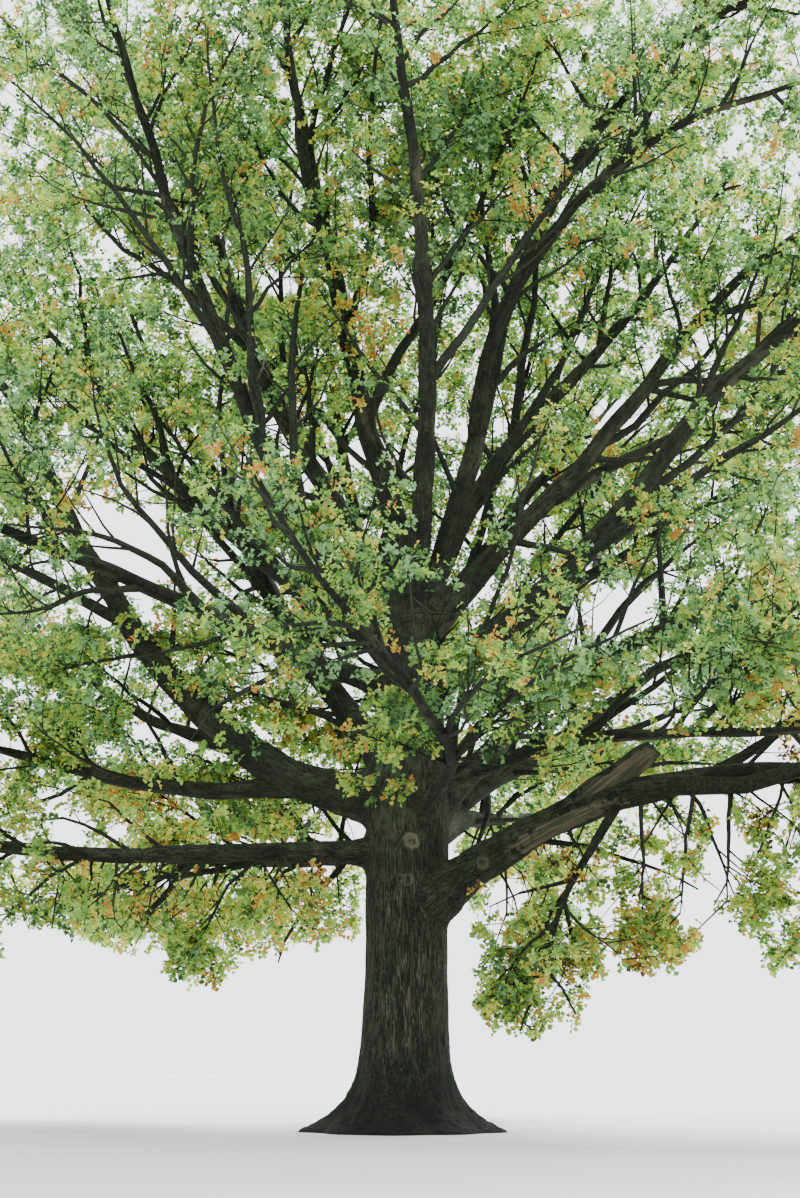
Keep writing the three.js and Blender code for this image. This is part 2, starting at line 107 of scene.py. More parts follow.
# What each row of the limbs says, from where it starts to the size of its sprays
LIMB_FIELDS = ("name", "parent", "at", "bearing", "rise", "turn", "bend", "bow", "length", "base", "bare",
               "hang", "spray")
LIMBS = [
    ("low_left", "trunk", 3.98, 188.2, 1.4, 1.8, 7.5, -5.3, 10.2, 0.17, 0.24, 0.8, 0.85),
    ("left_rising", "trunk", 4.9, 159.1, -7.6, 45.3, 43.5, 45.1, 12.4, 0.33, 0.55, 0, 1),
    ("left_low_arm", "left_rising", 0.142, 158.7, -2, 3.1, 29.9, 1.2, 8.4, 0.15, 0.45, 0.3, 1),
    ("left_mid", "left_rising", 0.224, 128.2, 10.2, 22.7, 16.9, 10, 7.8, 0.13, 0.4, 0.1, 1),
    ("left_high", "trunk", 6.5, 213.3, 6.5, 4.1, -2, 8.4, 10, 0.17, 0.5, 0.2, 1),
    ("rear_left", "trunk", 4.76, 120, 45.3, 32.2, 22.7, -3.2, 14, 0.25, 0.56, 0, 1),
    ("fan_far_left", "trunk", 7.08, 148.2, 22.1, 15.8, 19.5, 16.2, 11.6, 0.17, 0.52, 0, 1),
    ("fan_left", "trunk", 6.92, 215, 37.2, 19.8, 22.2, 12, 12, 0.18, 0.54, 0, 1),
    ("fan_left_up", "trunk", 7.69, 182.1, 50.5, -43.5, -0.8, 18.2, 12.4, 0.19, 0.55, 0, 1),
    ("fan_up_rear", "trunk", 6.94, 107.5, 20.1, 2.5, 34.6, 29, 12.4, 0.19, 0.52, 0, 1),
    ("fan_up", "trunk", 7.9, 212.5, 80.7, -4.6, 23.2, -17.5, 12.6, 0.2, 0.56, 0, 1),
    ("fan_front", "trunk", 7.63, 284.1, 48.7, -47, 24.7, 1.7, 10.8, 0.19, 0.6, 0, 1),
    ("fan_right_up", "trunk", 7.57, 328.1, 58.1, 7.2, -72.3, 43, 13, 0.19, 0.58, 0, 1),
    ("fan_right_arch", "fan_right_up", 0.245, 273.8, 64.6, 72.1, -51.7, -22.4, 8.6, 0.12, 0.5, 0, 1),
    ("fan_right_rear", "trunk", 7.02, 38.1, 71.1, -14.8, -10.9, -15.8, 13, 0.2, 0.54, 0, 1),
    ("fan_far_rear", "trunk", 7.13, 63.1, 39.3, -6.6, -4.6, 4, 11.8, 0.2, 0.5, 0, 1),
    ("fan_right", "trunk", 7.2, 357.6, 40.6, 12.2, -30, 24.6, 12.8, 0.19, 0.55, 0, 1),
    ("right_fork", "fan_right", 0.263, 31.4, 30.5, 3.9, -9.9, 1.1, 7.4, 0.11, 0.4, 0, 1),
    ("right_high", "trunk", 6.38, 341, 29.4, -5.5, -42.7, 33.8, 12.4, 0.23, 0.54, 0.1, 1),
    ("right_rear", "trunk", 6.74, 48.8, 26.8, -28.4, 2.2, 4.1, 11, 0.16, 0.5, 0, 1),
    ("right_third", "trunk", 4.31, 20.7, 46.4, -29.5, -85.4, 20, 11, 0.21, 0.5, 0.3, 1),
    ("right_second", "trunk", 4.34, 42.8, 24, -13.6, -16.3, 15, 11, 0.2, 0.5, 0.2, 1),
    ("low_right", "trunk", 3.07, 329.3, 29.5, 18.6, -68.1, 9.3, 10.8, 0.3, 0.45, 0.8, 1),
    ("low_right_droop", "low_right", 0.36, 210, -46, 0, -28, 0, 3.2, 0.07, 0.36, 0.5, 0.6),
    ("front_left", "trunk", 4.52, 296.1, 10.1, -90.8, 58.3, -24.9, 9, 0.11, 0.6, 0.1, 0.7),
    ("front_right", "trunk", 4.9, 314.4, 8.6, -8.3, -25.3, 1.1, 9, 0.13, 0.28, -0.35, 0.85),
    ("rear_low_left", "trunk", 4.1, 114, 4, 32, -13, 5, 10.4, 0.2, 0.3, 1.0, 0.9),
    ("rear_low_right", "trunk", 4.1, 70, 12, 6, -16, 6, 10.4, 0.2, 0.4, 0.9, 1),
    ("rear_mid", "trunk", 5.9, 96, 26, -6, -6, 6, 10.6, 0.19, 0.48, 0.2, 1),
]

# The foliage rule: twigs off each stem and the sprays they carry
SPRAY = {
    "seed": 20611,
    "twigs": 6,
    "tries": 30,
    "twig_length": 2.9,
    "spread": (38, 64),
    "step_around": 137.5,
    "blade_length": 1.75,
    "blade_half_width": 0.56,
    "side_blades": 2,
    "apart": 0.09,
    "space_margin": 0.16,
    "limb_margin": 0.12,
    "lowest": 1.35,
    "wood_radius": 0.04,
    "shaft_margin": 1.1,
    "tip_lift": 0.25,
    "twig_widest": 0.48,
    "side_widest": 0.52,
    "seed_a_mass": 7919,
    "seed_a_twig": 104729,
}
# The seeded draws' factor and prime, and how many draws come before the first one used
DRAW_FACTOR, DRAW_PRIME, DRAWS_BEFORE = 48271, 2147483647, 5
# Straight up, and the least divisor that counts as more than none
UP = np.array([0.0, 0.0, 1.0])
TINY = 1e-12

# Centre and radius in metres of the round scars on the trunk's front, and how pale each one is
KNOTS = [((0.1, -0.63, 4.1), 0.12, 1.0), ((0.05, -0.62, 3.55), 0.1, 0.4), ((1.15, -0.95, 3.75), 0.1, 0.6)]
# How far a scar's rim stands out and its middle sinks in, in metres
SCAR_RIM, SCAR_DIP = 0.028, 0.03
# How far the trunk's relief is drawn out along the grain
SHAFT_STRETCH = np.array([1, 1, 0.13])
# How many swells and ridges there are in a metre round the trunk, and where the ridges' pattern starts
SWELL_SCALE, RIDGE_SCALE, RIDGE_OFFSET = 5.5, 12.0, 40.0
# From what height in metres the trunk has its full relief
RELIEF_START = 0.06
# How far out the nearest wood is taken to be before any is found, in metres
FAR = 9.0
# How far out along a limb its root counts for the fairing, in metres
ROOT_REACH = 1.4
# Over what length the roots in the trunk's shell thin out at their ends, in metres
ROOT_FADE = 0.7
# How far out the trunk's shell holds the roots of its limbs, in metres
COLLAR = 1.9
# How much the roots of the limbs widen where they meet the trunk
FILLET = 0.18
# How the hollows round the thick roots are smoothed: rounds, reach and heights in metres, and strength
FAIRING = {"rounds": 36, "reach": 0.8, "lowest": 2.2, "rise": 0.5, "thickness": 0.12, "strength": 0.6}
# How far along the grain each limb starts after the one before it
GRAIN_STEP = 3.7
# How deep a limb's small kinks are, and how far from its root they reach that depth, in metres
KINK_DEPTH, KINK_START = 0.06, 3
# How far the bark's lumps are drawn out along the grain
LUMP_STRETCH = np.array([1, 1, 0.4])
# How many lumps there are in a metre of bough, and their depth as a share of its radius
BOUGH_LUMPS = (4.2, 0.22)
# The same for the broken limb, and where its pattern starts
STUB_LUMPS = (5.0, 0.2, 3.0)
# How much thicker the boughs' mesh is than their plain radius
BOUGH_SWELL = 1.015
# How far inside the trunk's shell the boughs' mesh starts, in metres
BOUGH_OVERLAP = 0.75
# The spacing of the rings along a root in the trunk's shell and along a bough, in metres
ROOT_SPACING, BOUGH_SPACING = 0.12, 0.13
# The broken limb: host, share along it, bearing, rise, length, radius at its start and end
BROKEN_LIMB = ("low_right", 0.27, 332, 31, 1.6, 0.22, 0.17)
# The strip of bare wood on the low right bough: share along it, its reach, and angle from the bough's side
STRIP = {"at": 0.27, "reach": 0.11, "turn": 2.67}

# The share of leaves that goes in front of each limb, where it isn't the usual one
SHOWN_USUAL = 0.62
SHOWN = {
    "fan_left": 0.5, "fan_left_up": 0.5, "fan_far_left": 0.5, "rear_low_left": 0.3, "rear_low_right": 0.4,
    "rear_mid": 0.3, "left_mid": 0.6, "rear_left": 0.6, "fan_up_rear": 0.6, "fan_far_rear": 0.6,
    "front_right": 0.5, "front_left": 1.3, "low_right_droop": 0.4, "low_right": 0.95, "fan_right_up": 1.05,
    "fan_right_arch": 1.05, "fan_right": 1.0, "fan_right_rear": 0.8, "right_fork": 0.9, "fan_front": 0.8,
}
# The limbs that the photo shows without strong forks
FORKLESS = ("low_left", "right_second", "rear_low_right")
# The limb that runs before every shelf of leaves
BEFORE_ALL = ("front_left",)
# Where along a limb its strong forks start, how far from its root, and how long the limb has to be
FORK_SHARES = (0.24, 0.35, 0.46, 0.58)
FORK_ROOT, FORK_LIMB = 1.9, 9
# Where the bare fan shows, as middle and half sizes right and up in metres, and the share of shoots there
INNER_FAN = [(0.3, 9.2, 4.4, 3.9)]
FAN_SHARE = 0.9
# From what height and how far to each side the crown is lush, and how many more twigs grow there
LUSH_HEIGHT, LUSH_REACH = 12, 3.8
LUSH_MIDDLE, LUSH_SIDES = 1.8, 1.3
# Steps, kink and spread in degrees of strong forks and of side branches, and their girth beside the limb's
FORK = {"steps": 12, "kink": 0.1, "spread": (16, 32), "girth": 0.52}
BRANCH = {"steps": 7, "kink": 0.13, "spread": (34, 60), "girth": 0.42}
# Where along a twig's stem its leafy twigs start, and along a leafy twig its shoots
STEM_TWIGS = (0.3, 0.5, 0.7, 0.9)
TWIG_SHOOTS = (0.3, 0.55, 0.8, 1.0)
# How far from a limb's root its side branches start, in metres and as a share, and where they end
BRANCHES_FROM, BRANCHES_FIRST, BRANCHES_LAST = 1.7, 0.14, 0.97
# How far in metres a branch stays off other limbs, its own limb and the trunk, and above the lowest leaf
CLEAR = {"others": 0.06, "own": 0.12, "shaft": 1.0, "lowest": 0.25}
# The small limbs with shelves: steps, wobble, and how their sprays fan out and rise or hang
SHELF = {"steps": 8, "wobble": 0.13, "fan": 2.9, "rise": 0.12, "hang": -0.9}
# The girths of a twig's stem, of a spray's axis and of a thin leafy twig, and of a shoot's root and end
STEM_GIRTHS = [0.038, 0.03, 0.02]
AXIS_GIRTHS = [0.016, 0.011, 0.004]
TWIG_GIRTHS = [0.011, 0.008, 0.004]
SHOOT_GIRTH, SHOOT_END = 0.007, 0.003
# The girths of a hanging branch from its root to its end
CURTAIN_GIRTHS = [0.026, 0.022, 0.018, 0.014, 0.01, 0.006]
# Where along a low limb its curtain starts, and over what share of it the curtain hangs
CURTAIN_START, CURTAIN_SPAN = 0.14, 0.86
# The least hang of a limb that carries a curtain of hanging branches
CURTAIN_HANG = 0.75

# The leaf colours from the coolest to the warmest, and the odds of each in four parts of the crown; deep is
# painted shade, the dark green of leaves in shade, given most in the middle and top of the crown
WARMTH = ["blue", "deep", "green", "light", "gold", "orange", "brown"]
ODDS = {
    "front": (0.34, 0.03, 0.28, 0.26, 0.08, 0.01, 0),
    "low": (0, 0.04, 0.15, 0.57, 0.17, 0.05, 0.02),
    "high": (0.18, 0.14, 0.36, 0.26, 0.05, 0.01, 0),
    "middle": (0.07, 0.15, 0.3, 0.36, 0.09, 0.03, 0),
}
# Where those parts end, in metres up, and how far forward the front part lies
LOW_END, HIGH_START = 5.5, 13
FRONT_DEPTH, FRONT_LOWEST, FRONT_HIGHEST = -2.5, 5.2, 10
# Where the photo shows patches of autumn colour and dead leaves: centre, radius, tint
TINT_SPOTS = [
    ((-0.57, -2.5, 9.85), 0.65, "orange"), ((0.0, -2.0, 8.8), 0.4, "orange"),
    ((0.5, -4.0, 6.95), 0.35, "orange"), ((-5.0, 4.0, 5.7), 0.9, "orange"),
    ((-4.3, 5.0, 3.5), 0.8, "orange"), ((-2.1, 5.0, 3.5), 0.6, "orange"),
    ((6.2, -3.0, 9.4), 0.7, "orange"), ((4.6, -4.6, 5.4), 0.5, "gold"), ((1.6, 1.5, 4.6), 0.9, "orange"),
    ((2.35, -2.4, 3.6), 0.4, "brown"), ((2.4, -2.4, 3.0), 0.3, "brown"),
    ((2.2, -2.4, 2.4), 0.35, "brown"),
]
# The share of leaves at a shoot's end, and how far back along it they and the others reach
TIP_LEAVES, TIP_REACH, SIDE_REACH = 0.66, 0.12, 0.8
# How many tints a leaf may lie from its shoot's, and the odds of each step; the steps are partly real
# variety of colour and partly painted light and shade between neighbouring leaves
TINT_STEPS, TINT_ODDS = (-2, -1, 0, 1, 2), (0.1, 0.24, 0.42, 0.2, 0.04)
# How much more of each channel passes through a leaf than its face shows
THROUGH_GAIN = (1.3, 1.55, 1.0)
# The seed of all that grows only in the looks
FOLIAGE_SEED = 7
# The stage's colours, the key light's spread and turn in degrees, and the camera's frame in mm and view in m
FLOOR_COLOUR = (0.6, 0.6, 0.59, 1)
SKY_COLOUR = (0.93, 0.96, 1.0, 1)
KEY_COLOUR = (1.0, 0.97, 0.9)
KEY_SPREAD = 25
KEY_TURN = (-38, 22, 0)
FRAME_HEIGHT = 36
VIEW_END = 1000
# The most leaves in one piece, and the most points of branches or twigs
LEAVES_A_PIECE = 40000
WOOD_POINTS = {"branches": 15000, "twigs": 24000}

# The camera's place and tilt, and its focal length and middle in pixels of the 800 by 1198 frame
EYE = (-0.058, -25.2, 0.93)
EYE_TILT = math.radians(15.64)
FOCAL = 1664
MIDDLE = (400, 599)
# The width of the view's square cells, in pixels
CELL = 4
# How close the places along shown wood lie, and how far past the wood leaves are thinned, in metres
SHOWN_STEP, SHOWN_MARGIN = 0.05, 0.03
# Centres and half sizes in pixels of the gaps that show open sky or the trunk
SKY_GAPS = [
    (127, 545, 40, 38), (616, 612, 36, 26), (625, 418, 30, 24), (278, 284, 20, 16), (440, 960, 34, 84),
    (508, 894, 24, 20), (690, 898, 20, 30), (722, 862, 20, 44), (612, 912, 9, 20), (608, 956, 9, 18),
]
# The gaps that no branch crosses
OPEN_SKY = SKY_GAPS[:4]
# Where the fan's foliage is thin, and the share of its leaves that goes
AIRY = [((410, 470, 180, 120), 0.25)]
# Where the broken limb shows with no branch before it
BROKEN_VIEW = [(642, 768, 44, 26), (600, 798, 40, 20)]
# How far forward a place has to lie to hide the broken limb, in metres
BROKEN_FRONT = -1.4
# The shelves of leaves that hide the limbs behind them
SCREENS = [
    (395, 562, 66, 40), (450, 662, 80, 32), (560, 672, 90, 30), (740, 705, 80, 34), (640, 505, 70, 26),
    (318, 652, 46, 40), (345, 592, 44, 40), (282, 520, 42, 42), (392, 700, 28, 26),
]
# The crown's lower edge, as pixels right and down, and the highest place on it
LOWER_EDGE = [
    (0, 925), (60, 930), (110, 945), (160, 962), (200, 988), (235, 990), (268, 966), (318, 990), (362, 982),
    (367, 800), (455, 800), (458, 885), (472, 905), (480, 1012), (500, 1034), (530, 1038), (566, 1034),
    (582, 1004), (588, 978), (604, 980), (618, 962), (634, 984), (672, 970), (696, 944), (708, 908),
    (738, 905), (748, 975), (800, 980),
]
EDGE_TOP = min(down for _, down in LOWER_EDGE)
# The middles and half sizes in metres of the two leafy shelves before the fork
SHELF_CENTRES = [np.array([0.3, -4.0, 7.4]), np.array([1.5, -4.5, 5.9])]
SHELF_SPAN = np.array([1.7, 1.6, 0.9])
# How far past the solid frame's box a shoot may end, in metres
BOX_MARGIN = 0.2

# Small limbs on each host: share along it, bearing, rise, bend, length, base radius, sprays and their size
SHELVES = [
    ("front_left", (0.3, 262, 70, -60, 2.6, 0.04, 9, 0.85), (0.16, 296, 40, -34, 2.9, 0.055, 9, 0.95),
     (0.05, 215, 10, 20, 0.9, 0.02, 3, 0.35), (0.3, 235, 8, 0, 1.3, 0.03, 7, 0.6),
     (0.36, 300, 10, 10, 1.2, 0.03, 7, 0.6), (0.24, 262, 44, -30, 1.4, 0.03, 7, 0.65)),
    ("front_right", (0.12, 300, 44, -40, 2.6, 0.045, 7, 0.8), (0.42, 322, 40, -38, 2.2, 0.045, 7, 0.9),
     (0.62, 300, 38, -34, 2.0, 0.04, 7, 0.9)),
    ("right_third", (0.5, 250, 86, 4, 2.4, 0.062, 3, 0.5)),
    ("low_right", (0.4, 331, 4, -2, 5.2, 0.15, 6, 0.8), (0.46, 236, -52, -30, 2.2, 0.035, 4, 0.55),
     (0.5, 250, -50, -30, 2.0, 0.035, 4, 0.6), (0.62, 245, -54, -30, 2.3, 0.035, 4, 0.6)),
    ("low_left", (0.2, 150, -20, -50, 1.8, 0.03, 5, 0.55)),
    ("left_high", (0.5, 200, -40, -50, 1.0, 0.028, 3, 0.45)),
    ("fan_far_left", (0.5, 168, 66, -10, 4.4, 0.06, 9, 1.0), (0.75, 175, 78, -10, 4.2, 0.05, 9, 1.0)),
    ("fan_left", (0.72, 190, 40, 0, 2.8, 0.04, 7, 1.0)),
    ("rear_low_left", (0.16, 150, 48, -20, 2.0, 0.04, 6, 0.8), (0.26, 190, 50, -30, 2.4, 0.045, 7, 0.9),
     (0.38, 150, 52, -30, 2.4, 0.045, 7, 0.9), (0.5, 200, 50, -30, 2.4, 0.045, 7, 0.9),
     (0.64, 160, 54, -30, 2.2, 0.04, 7, 0.9)),
    ("rear_left", (0.14, 180, 16, 10, 2.4, 0.05, 7, 0.9), (0.24, 200, 12, 0, 2.4, 0.045, 7, 0.9)),
    ("left_mid", (0.3, 215, 30, 0, 2.0, 0.04, 6, 0.8)),
    ("rear_low_right", (0.2, 20, 40, -20, 2.2, 0.045, 7, 0.9), (0.34, 60, 56, -30, 2.4, 0.045, 7, 0.9),
     (0.5, 10, 46, -30, 2.4, 0.045, 7, 0.9)),
    ("right_second", (0.22, 350, 6, 0, 2.2, 0.045, 7, 0.85)),
    ("rear_mid", (0.3, 160, 30, 0, 2.4, 0.045, 7, 0.9), (0.3, 20, 30, 0, 2.4, 0.045, 7, 0.9)),
    ("rear_left", (0.17, 100, -4, 0, 1.7, 0.04, 6, 0.7)),
    ("rear_mid", (0.2, 170, -10, 0, 1.9, 0.04, 7, 0.75)),
    ("rear_low_left", (0.22, 70, 60, 0, 2.4, 0.045, 7, 0.75)),
    ("fan_up", (0.5, 150, 50, 20, 2.6, 0.045, 7, 1.0), (0.62, 20, 50, 20, 2.4, 0.04, 7, 1.0)),
    ("fan_up_rear", (0.55, 60, 50, 20, 2.4, 0.04, 7, 1.0), (0.7, 140, 50, 20, 2.4, 0.04, 7, 1.0)),
    ("fan_left_up", (0.6, 80, 50, 20, 2.4, 0.04, 7, 1.0)),
    ("fan_right_up", (0.6, 130, 50, 20, 2.4, 0.04, 7, 1.0)),
    ("fan_up_rear", (0.3, 170, 40, 0, 2.4, 0.04, 7, 0.9)),
    ("fan_right_up", (0.42, 180, 56, 10, 2.6, 0.045, 8, 1.0), (0.54, 150, 60, 10, 2.4, 0.045, 8, 1.0),
     (0.66, 170, 60, 10, 2.4, 0.04, 8, 1.0)),
    ("fan_front", (0.75, 10, 40, 10, 2.4, 0.04, 8, 1.0)),
    ("fan_left", (0.36, 60, 50, 0, 2.0, 0.04, 7, 0.8), (0.48, 350, 50, 0, 2.2, 0.04, 7, 0.9)),
    ("fan_left_up", (0.3, 300, 40, 10, 1.8, 0.04, 7, 0.8), (0.42, 250, 40, 10, 2.0, 0.04, 7, 0.9)),
    ("fan_far_left", (0.36, 280, 50, 0, 2.0, 0.04, 7, 0.8)),
    ("low_right", (0.38, 262, -60, -25, 1.9, 0.03, 5, 0.6), (0.44, 300, -52, -30, 1.9, 0.03, 5, 0.6)),
    ("low_right_droop", (0.7, 200, -30, -50, 1.2, 0.024, 3, 0.4),
     (0.95, 225, -50, -20, 0.95, 0.02, 3, 0.38), (0.9, 330, -46, -30, 1.0, 0.02, 3, 0.38)),
    ("fan_front", (0.48, 20, 50, 10, 2.6, 0.045, 8, 1.0), (0.62, 50, 50, 10, 2.4, 0.04, 8, 1.0)),
    ("fan_right_rear", (0.55, 150, 60, 10, 2.4, 0.04, 8, 1.0)),
    ("left_low_arm", (0.3, 200, 62, -30, 1.5, 0.03, 6, 0.75), (0.45, 150, 62, -30, 1.6, 0.03, 6, 0.75),
     (0.6, 200, 56, -30, 1.6, 0.03, 6, 0.75)),
    ("left_mid", (0.5, 220, -24, -20, 1.4, 0.03, 6, 0.75), (0.65, 170, 30, -20, 1.5, 0.03, 6, 0.75)),
    ("left_rising", (0.42, 200, -10, -20, 1.6, 0.035, 6, 0.8)),
    ("rear_low_left", (0.1, 190, 14, 0, 1.4, 0.03, 6, 0.6), (0.2, 170, 16, 0, 1.5, 0.03, 6, 0.65),
     (0.32, 190, 18, 0, 1.6, 0.03, 6, 0.65), (0.45, 170, 16, 0, 1.6, 0.03, 6, 0.65)),
    ("fan_up_rear", (0.4, 60, 30, 0, 2.2, 0.04, 7, 0.9)),
    ("rear_left", (0.4, 60, 20, 0, 2.4, 0.045, 7, 0.9), (0.5, 100, 40, 0, 2.4, 0.045, 7, 0.9)),
    ("fan_far_left", (0.3, 60, 40, 0, 2.0, 0.04, 7, 0.8)),
    ("fan_far_rear", (0.3, 140, 40, 0, 2.2, 0.04, 7, 0.9), (0.45, 40, 40, 0, 2.2, 0.04, 7, 0.9)),
    ("fan_right_rear", (0.35, 100, 20, 0, 2.2, 0.04, 7, 0.9)),
]


def unit(vector):
    return vector / np.linalg.norm(vector)


def perpendicular(vector, direction):
    return unit(vector - direction * vector.dot(direction))


def heading_of(bearing, rise):
    """A unit vector from its bearing and its rise, in radians."""
    level = math.cos(rise)
    return np.array([level * math.cos(bearing), level * math.sin(bearing), math.sin(rise)])


def seeded(seed):
    """Even draws from 0 to 1, the same as the solid frame's."""
    state = [seed]

    def draw():
        state[0] = (state[0] * DRAW_FACTOR) % DRAW_PRIME
        return state[0] / DRAW_PRIME

    for _ in range(DRAWS_BEFORE):
        draw()
    return draw


def shaft_radius(z):
    """The shaft's radius at one height or at many."""
    return np.interp(z, *zip(*TRUNK["shaft"]))


def trunk_radius(z, bearing):
    """Radius with the root flare, which is longest along each toe."""
    reach = TRUNK["flare_reach"]
    for toe, length in TOES:
        away = ((bearing - toe) % 360 + 540) % 360 - 180
        reach += length * math.exp(-((away / TRUNK["toe_width"]) ** 2))
    return shaft_radius(z) + reach * math.exp(-z / TRUNK["flare_height"])


def trunk_centre(z):
    return np.array([TRUNK["lean"] * z, 0.0, z])


class Limb:
    """One limb's course, from the same named sizes and rule as the solid frame."""

    def __init__(self, index, fields, limbs):
        for key, value in zip(LIMB_FIELDS, fields):
            setattr(self, key, value)
        self.index = index
        self.parent = next((other for other in limbs if other.name == self.parent), None)
        self.phase = (index * PHASE_STEP) % 1
        start = self.parent.point(self.at) if self.parent else trunk_centre(self.at)
        self.host = self.parent.radius(self.at) if self.parent else shaft_radius(self.at)
        points = [start]
        for i in range(STEPS):
            points.append(points[-1] + self.direction((i + 0.5) / STEPS) * self.length / STEPS)
        self.points = np.array(points)
        sides = [perpendicular(np.array(SIDE_SEED), self.direction(0))]
        for i in range(1, STEPS + 1):
            sides.append(perpendicular(sides[-1], self.direction(i / STEPS)))
        self.sides = sides

    def direction(self, s):
        swing = math.sin(2 * math.pi * (SWING_WAVES * s + self.phase))
        lift = math.sin(2 * math.pi * (LIFT_WAVES * s + LIFT_SHIFT + self.phase))
        bearing = math.radians(self.bearing + self.turn * s + WAVER * swing)
        rise = math.radians(self.rise + self.bend * s + self.bow * 4 * s * (1 - s) + WAVER * lift)
        return heading_of(bearing, rise)

    def point(self, s):
        place = min(max(s, 0), 1) * STEPS
        i = min(int(place), STEPS - 1)
        return self.points[i] + (self.points[i + 1] - self.points[i]) * (place - i)

    def side(self, s):
        return perpendicular(self.sides[min(int(s * STEPS), STEPS - 1)], self.direction(s))

    def radius(self, s):
        plain = self.base * (1 - s) + TIP_RADIUS * s
        out = max(s * self.length - self.host, 0)
        return plain * (1 + SWELL * math.exp(-out / SWELL_REACH))

    def branching(self, s, around, spread):
        """The heading of a twig that leaves at an angle of spread, turned round the limb."""
        direction, side = self.direction(s), self.side(s)
        outward = side * math.cos(around) + np.cross(direction, side) * math.sin(around)
        return direction * math.cos(spread) + outward * math.sin(spread)


def segment_distances(p0, p1, starts, ends):
    """Shortest distance from one straight segment to each of many."""
    d1 = p1 - p0
    d2 = ends - starts
    r = p0 - starts
    a = d1.dot(d1)
    e = (d2 * d2).sum(-1)
    f = (d2 * r).sum(-1)
    c = r @ d1
    b = d2 @ d1
    denominator = a * e - b * b
    s = np.where(denominator > TINY, np.clip((b * f - c * e) / np.maximum(denominator, TINY), 0, 1), 0)
    t = (b * s + f) / np.maximum(e, TINY)
    s = np.where(t < 0, np.clip(-c / a, 0, 1), np.where(t > 1, np.clip((b - c) / a, 0, 1), s))
    t = np.clip(t, 0, 1)
    near = p0 + d1 * s[:, None]
    far = starts + d2 * t[:, None]
    return np.linalg.norm(near - far, axis=1)


class Tree:
    """All the limbs, and the tests that keep each mass of foliage in its own space."""

    def __init__(self):
        self.limbs = []
        for index, fields in enumerate(LIMBS):
            self.limbs.append(Limb(index, fields, self.limbs))
        self.roots = [limb for limb in self.limbs if not limb.parent]
        self.named = {limb.name: limb for limb in self.limbs}
        self.starts = np.concatenate([limb.points[:-1] for limb in self.limbs])
        self.ends = np.concatenate([limb.points[1:] for limb in self.limbs])
        shares = np.arange(STEPS) / STEPS
        self.radii = np.concatenate([[limb.radius(s) for s in shares] for limb in self.limbs])
        self.owner = np.repeat(np.arange(len(self.limbs)), STEPS)
        order = np.arange(1, STEPS + 1)
        self.stem = np.concatenate([order > math.floor(limb.bare * STEPS) for limb in self.limbs])
        self.wood = np.concatenate([order / STEPS < limb.bare - 0.02 for limb in self.limbs])

    def shaft_gap(self, p0, p1):
        """How far a straight piece of wood stays from the trunk's middle line."""
        return segment_distances(p0, p1, trunk_centre(0)[None], trunk_centre(TRUNK["top_height"])[None])[0]

    def keeps_clear(self, p0, p1, radius, limb):
        if min(p0[2], p1[2]) < SPRAY["lowest"]:
            return False
        gaps = segment_distances(p0, p1, self.starts, self.ends) - self.radii
        mine = self.owner == limb.index
        own = gaps[mine & self.stem].min()
        margin = radius + SPRAY["limb_margin"]
        if gaps[~mine & self.stem].min() < max(own + SPRAY["space_margin"] * 2, margin):
            return False
        if gaps[~mine].min() < margin or gaps[mine & self.wood].min() < margin:
            return False
        return self.shaft_gap(p0, p1) > SPRAY["shaft_margin"] + radius


def blade_normal(direction, draw):
    return perpendicular(np.array([draw() - 0.5, draw() - 0.5, draw() * 0.7]), direction)


def blade_segments(blade):
    across = unit(np.cross(blade["normal"], blade["tip"])) * SPRAY["blade_half_width"] * blade["size"]
    left = blade["widest"] + across
    right = blade["widest"] - across
    neck, end = blade["neck"], blade["end"]
    return [(neck, left), (left, end), (neck, right), (right, end), (left, right), (neck, end)]


def stays_apart(segments, taken):
    starts = np.array([a for a, b in taken])
    ends = np.array([b for a, b in taken])
    return all(segment_distances(a, b, starts, ends).min() >= SPRAY["apart"] for a, b in segments)


def blade_from(neck, tip, reach, widest, size):
    return {"neck": neck, "widest": neck + tip * reach * widest, "end": neck + tip * reach, "tip": tip,
            "size": size}


def twig_course(limb, s, around, spread, length, hang):
    """A twig with the blade at its end."""
    root = limb.point(s)
    heading = limb.branching(s, around, spread)
    tip = unit(heading + UP * (SPRAY["tip_lift"] - hang))
    reach = SPRAY["blade_length"] * limb.spray
    neck = root + heading * (length - reach)
    return {"root": root, "heading": heading,
            **blade_from(neck, tip, reach, SPRAY["twig_widest"], limb.spray)}


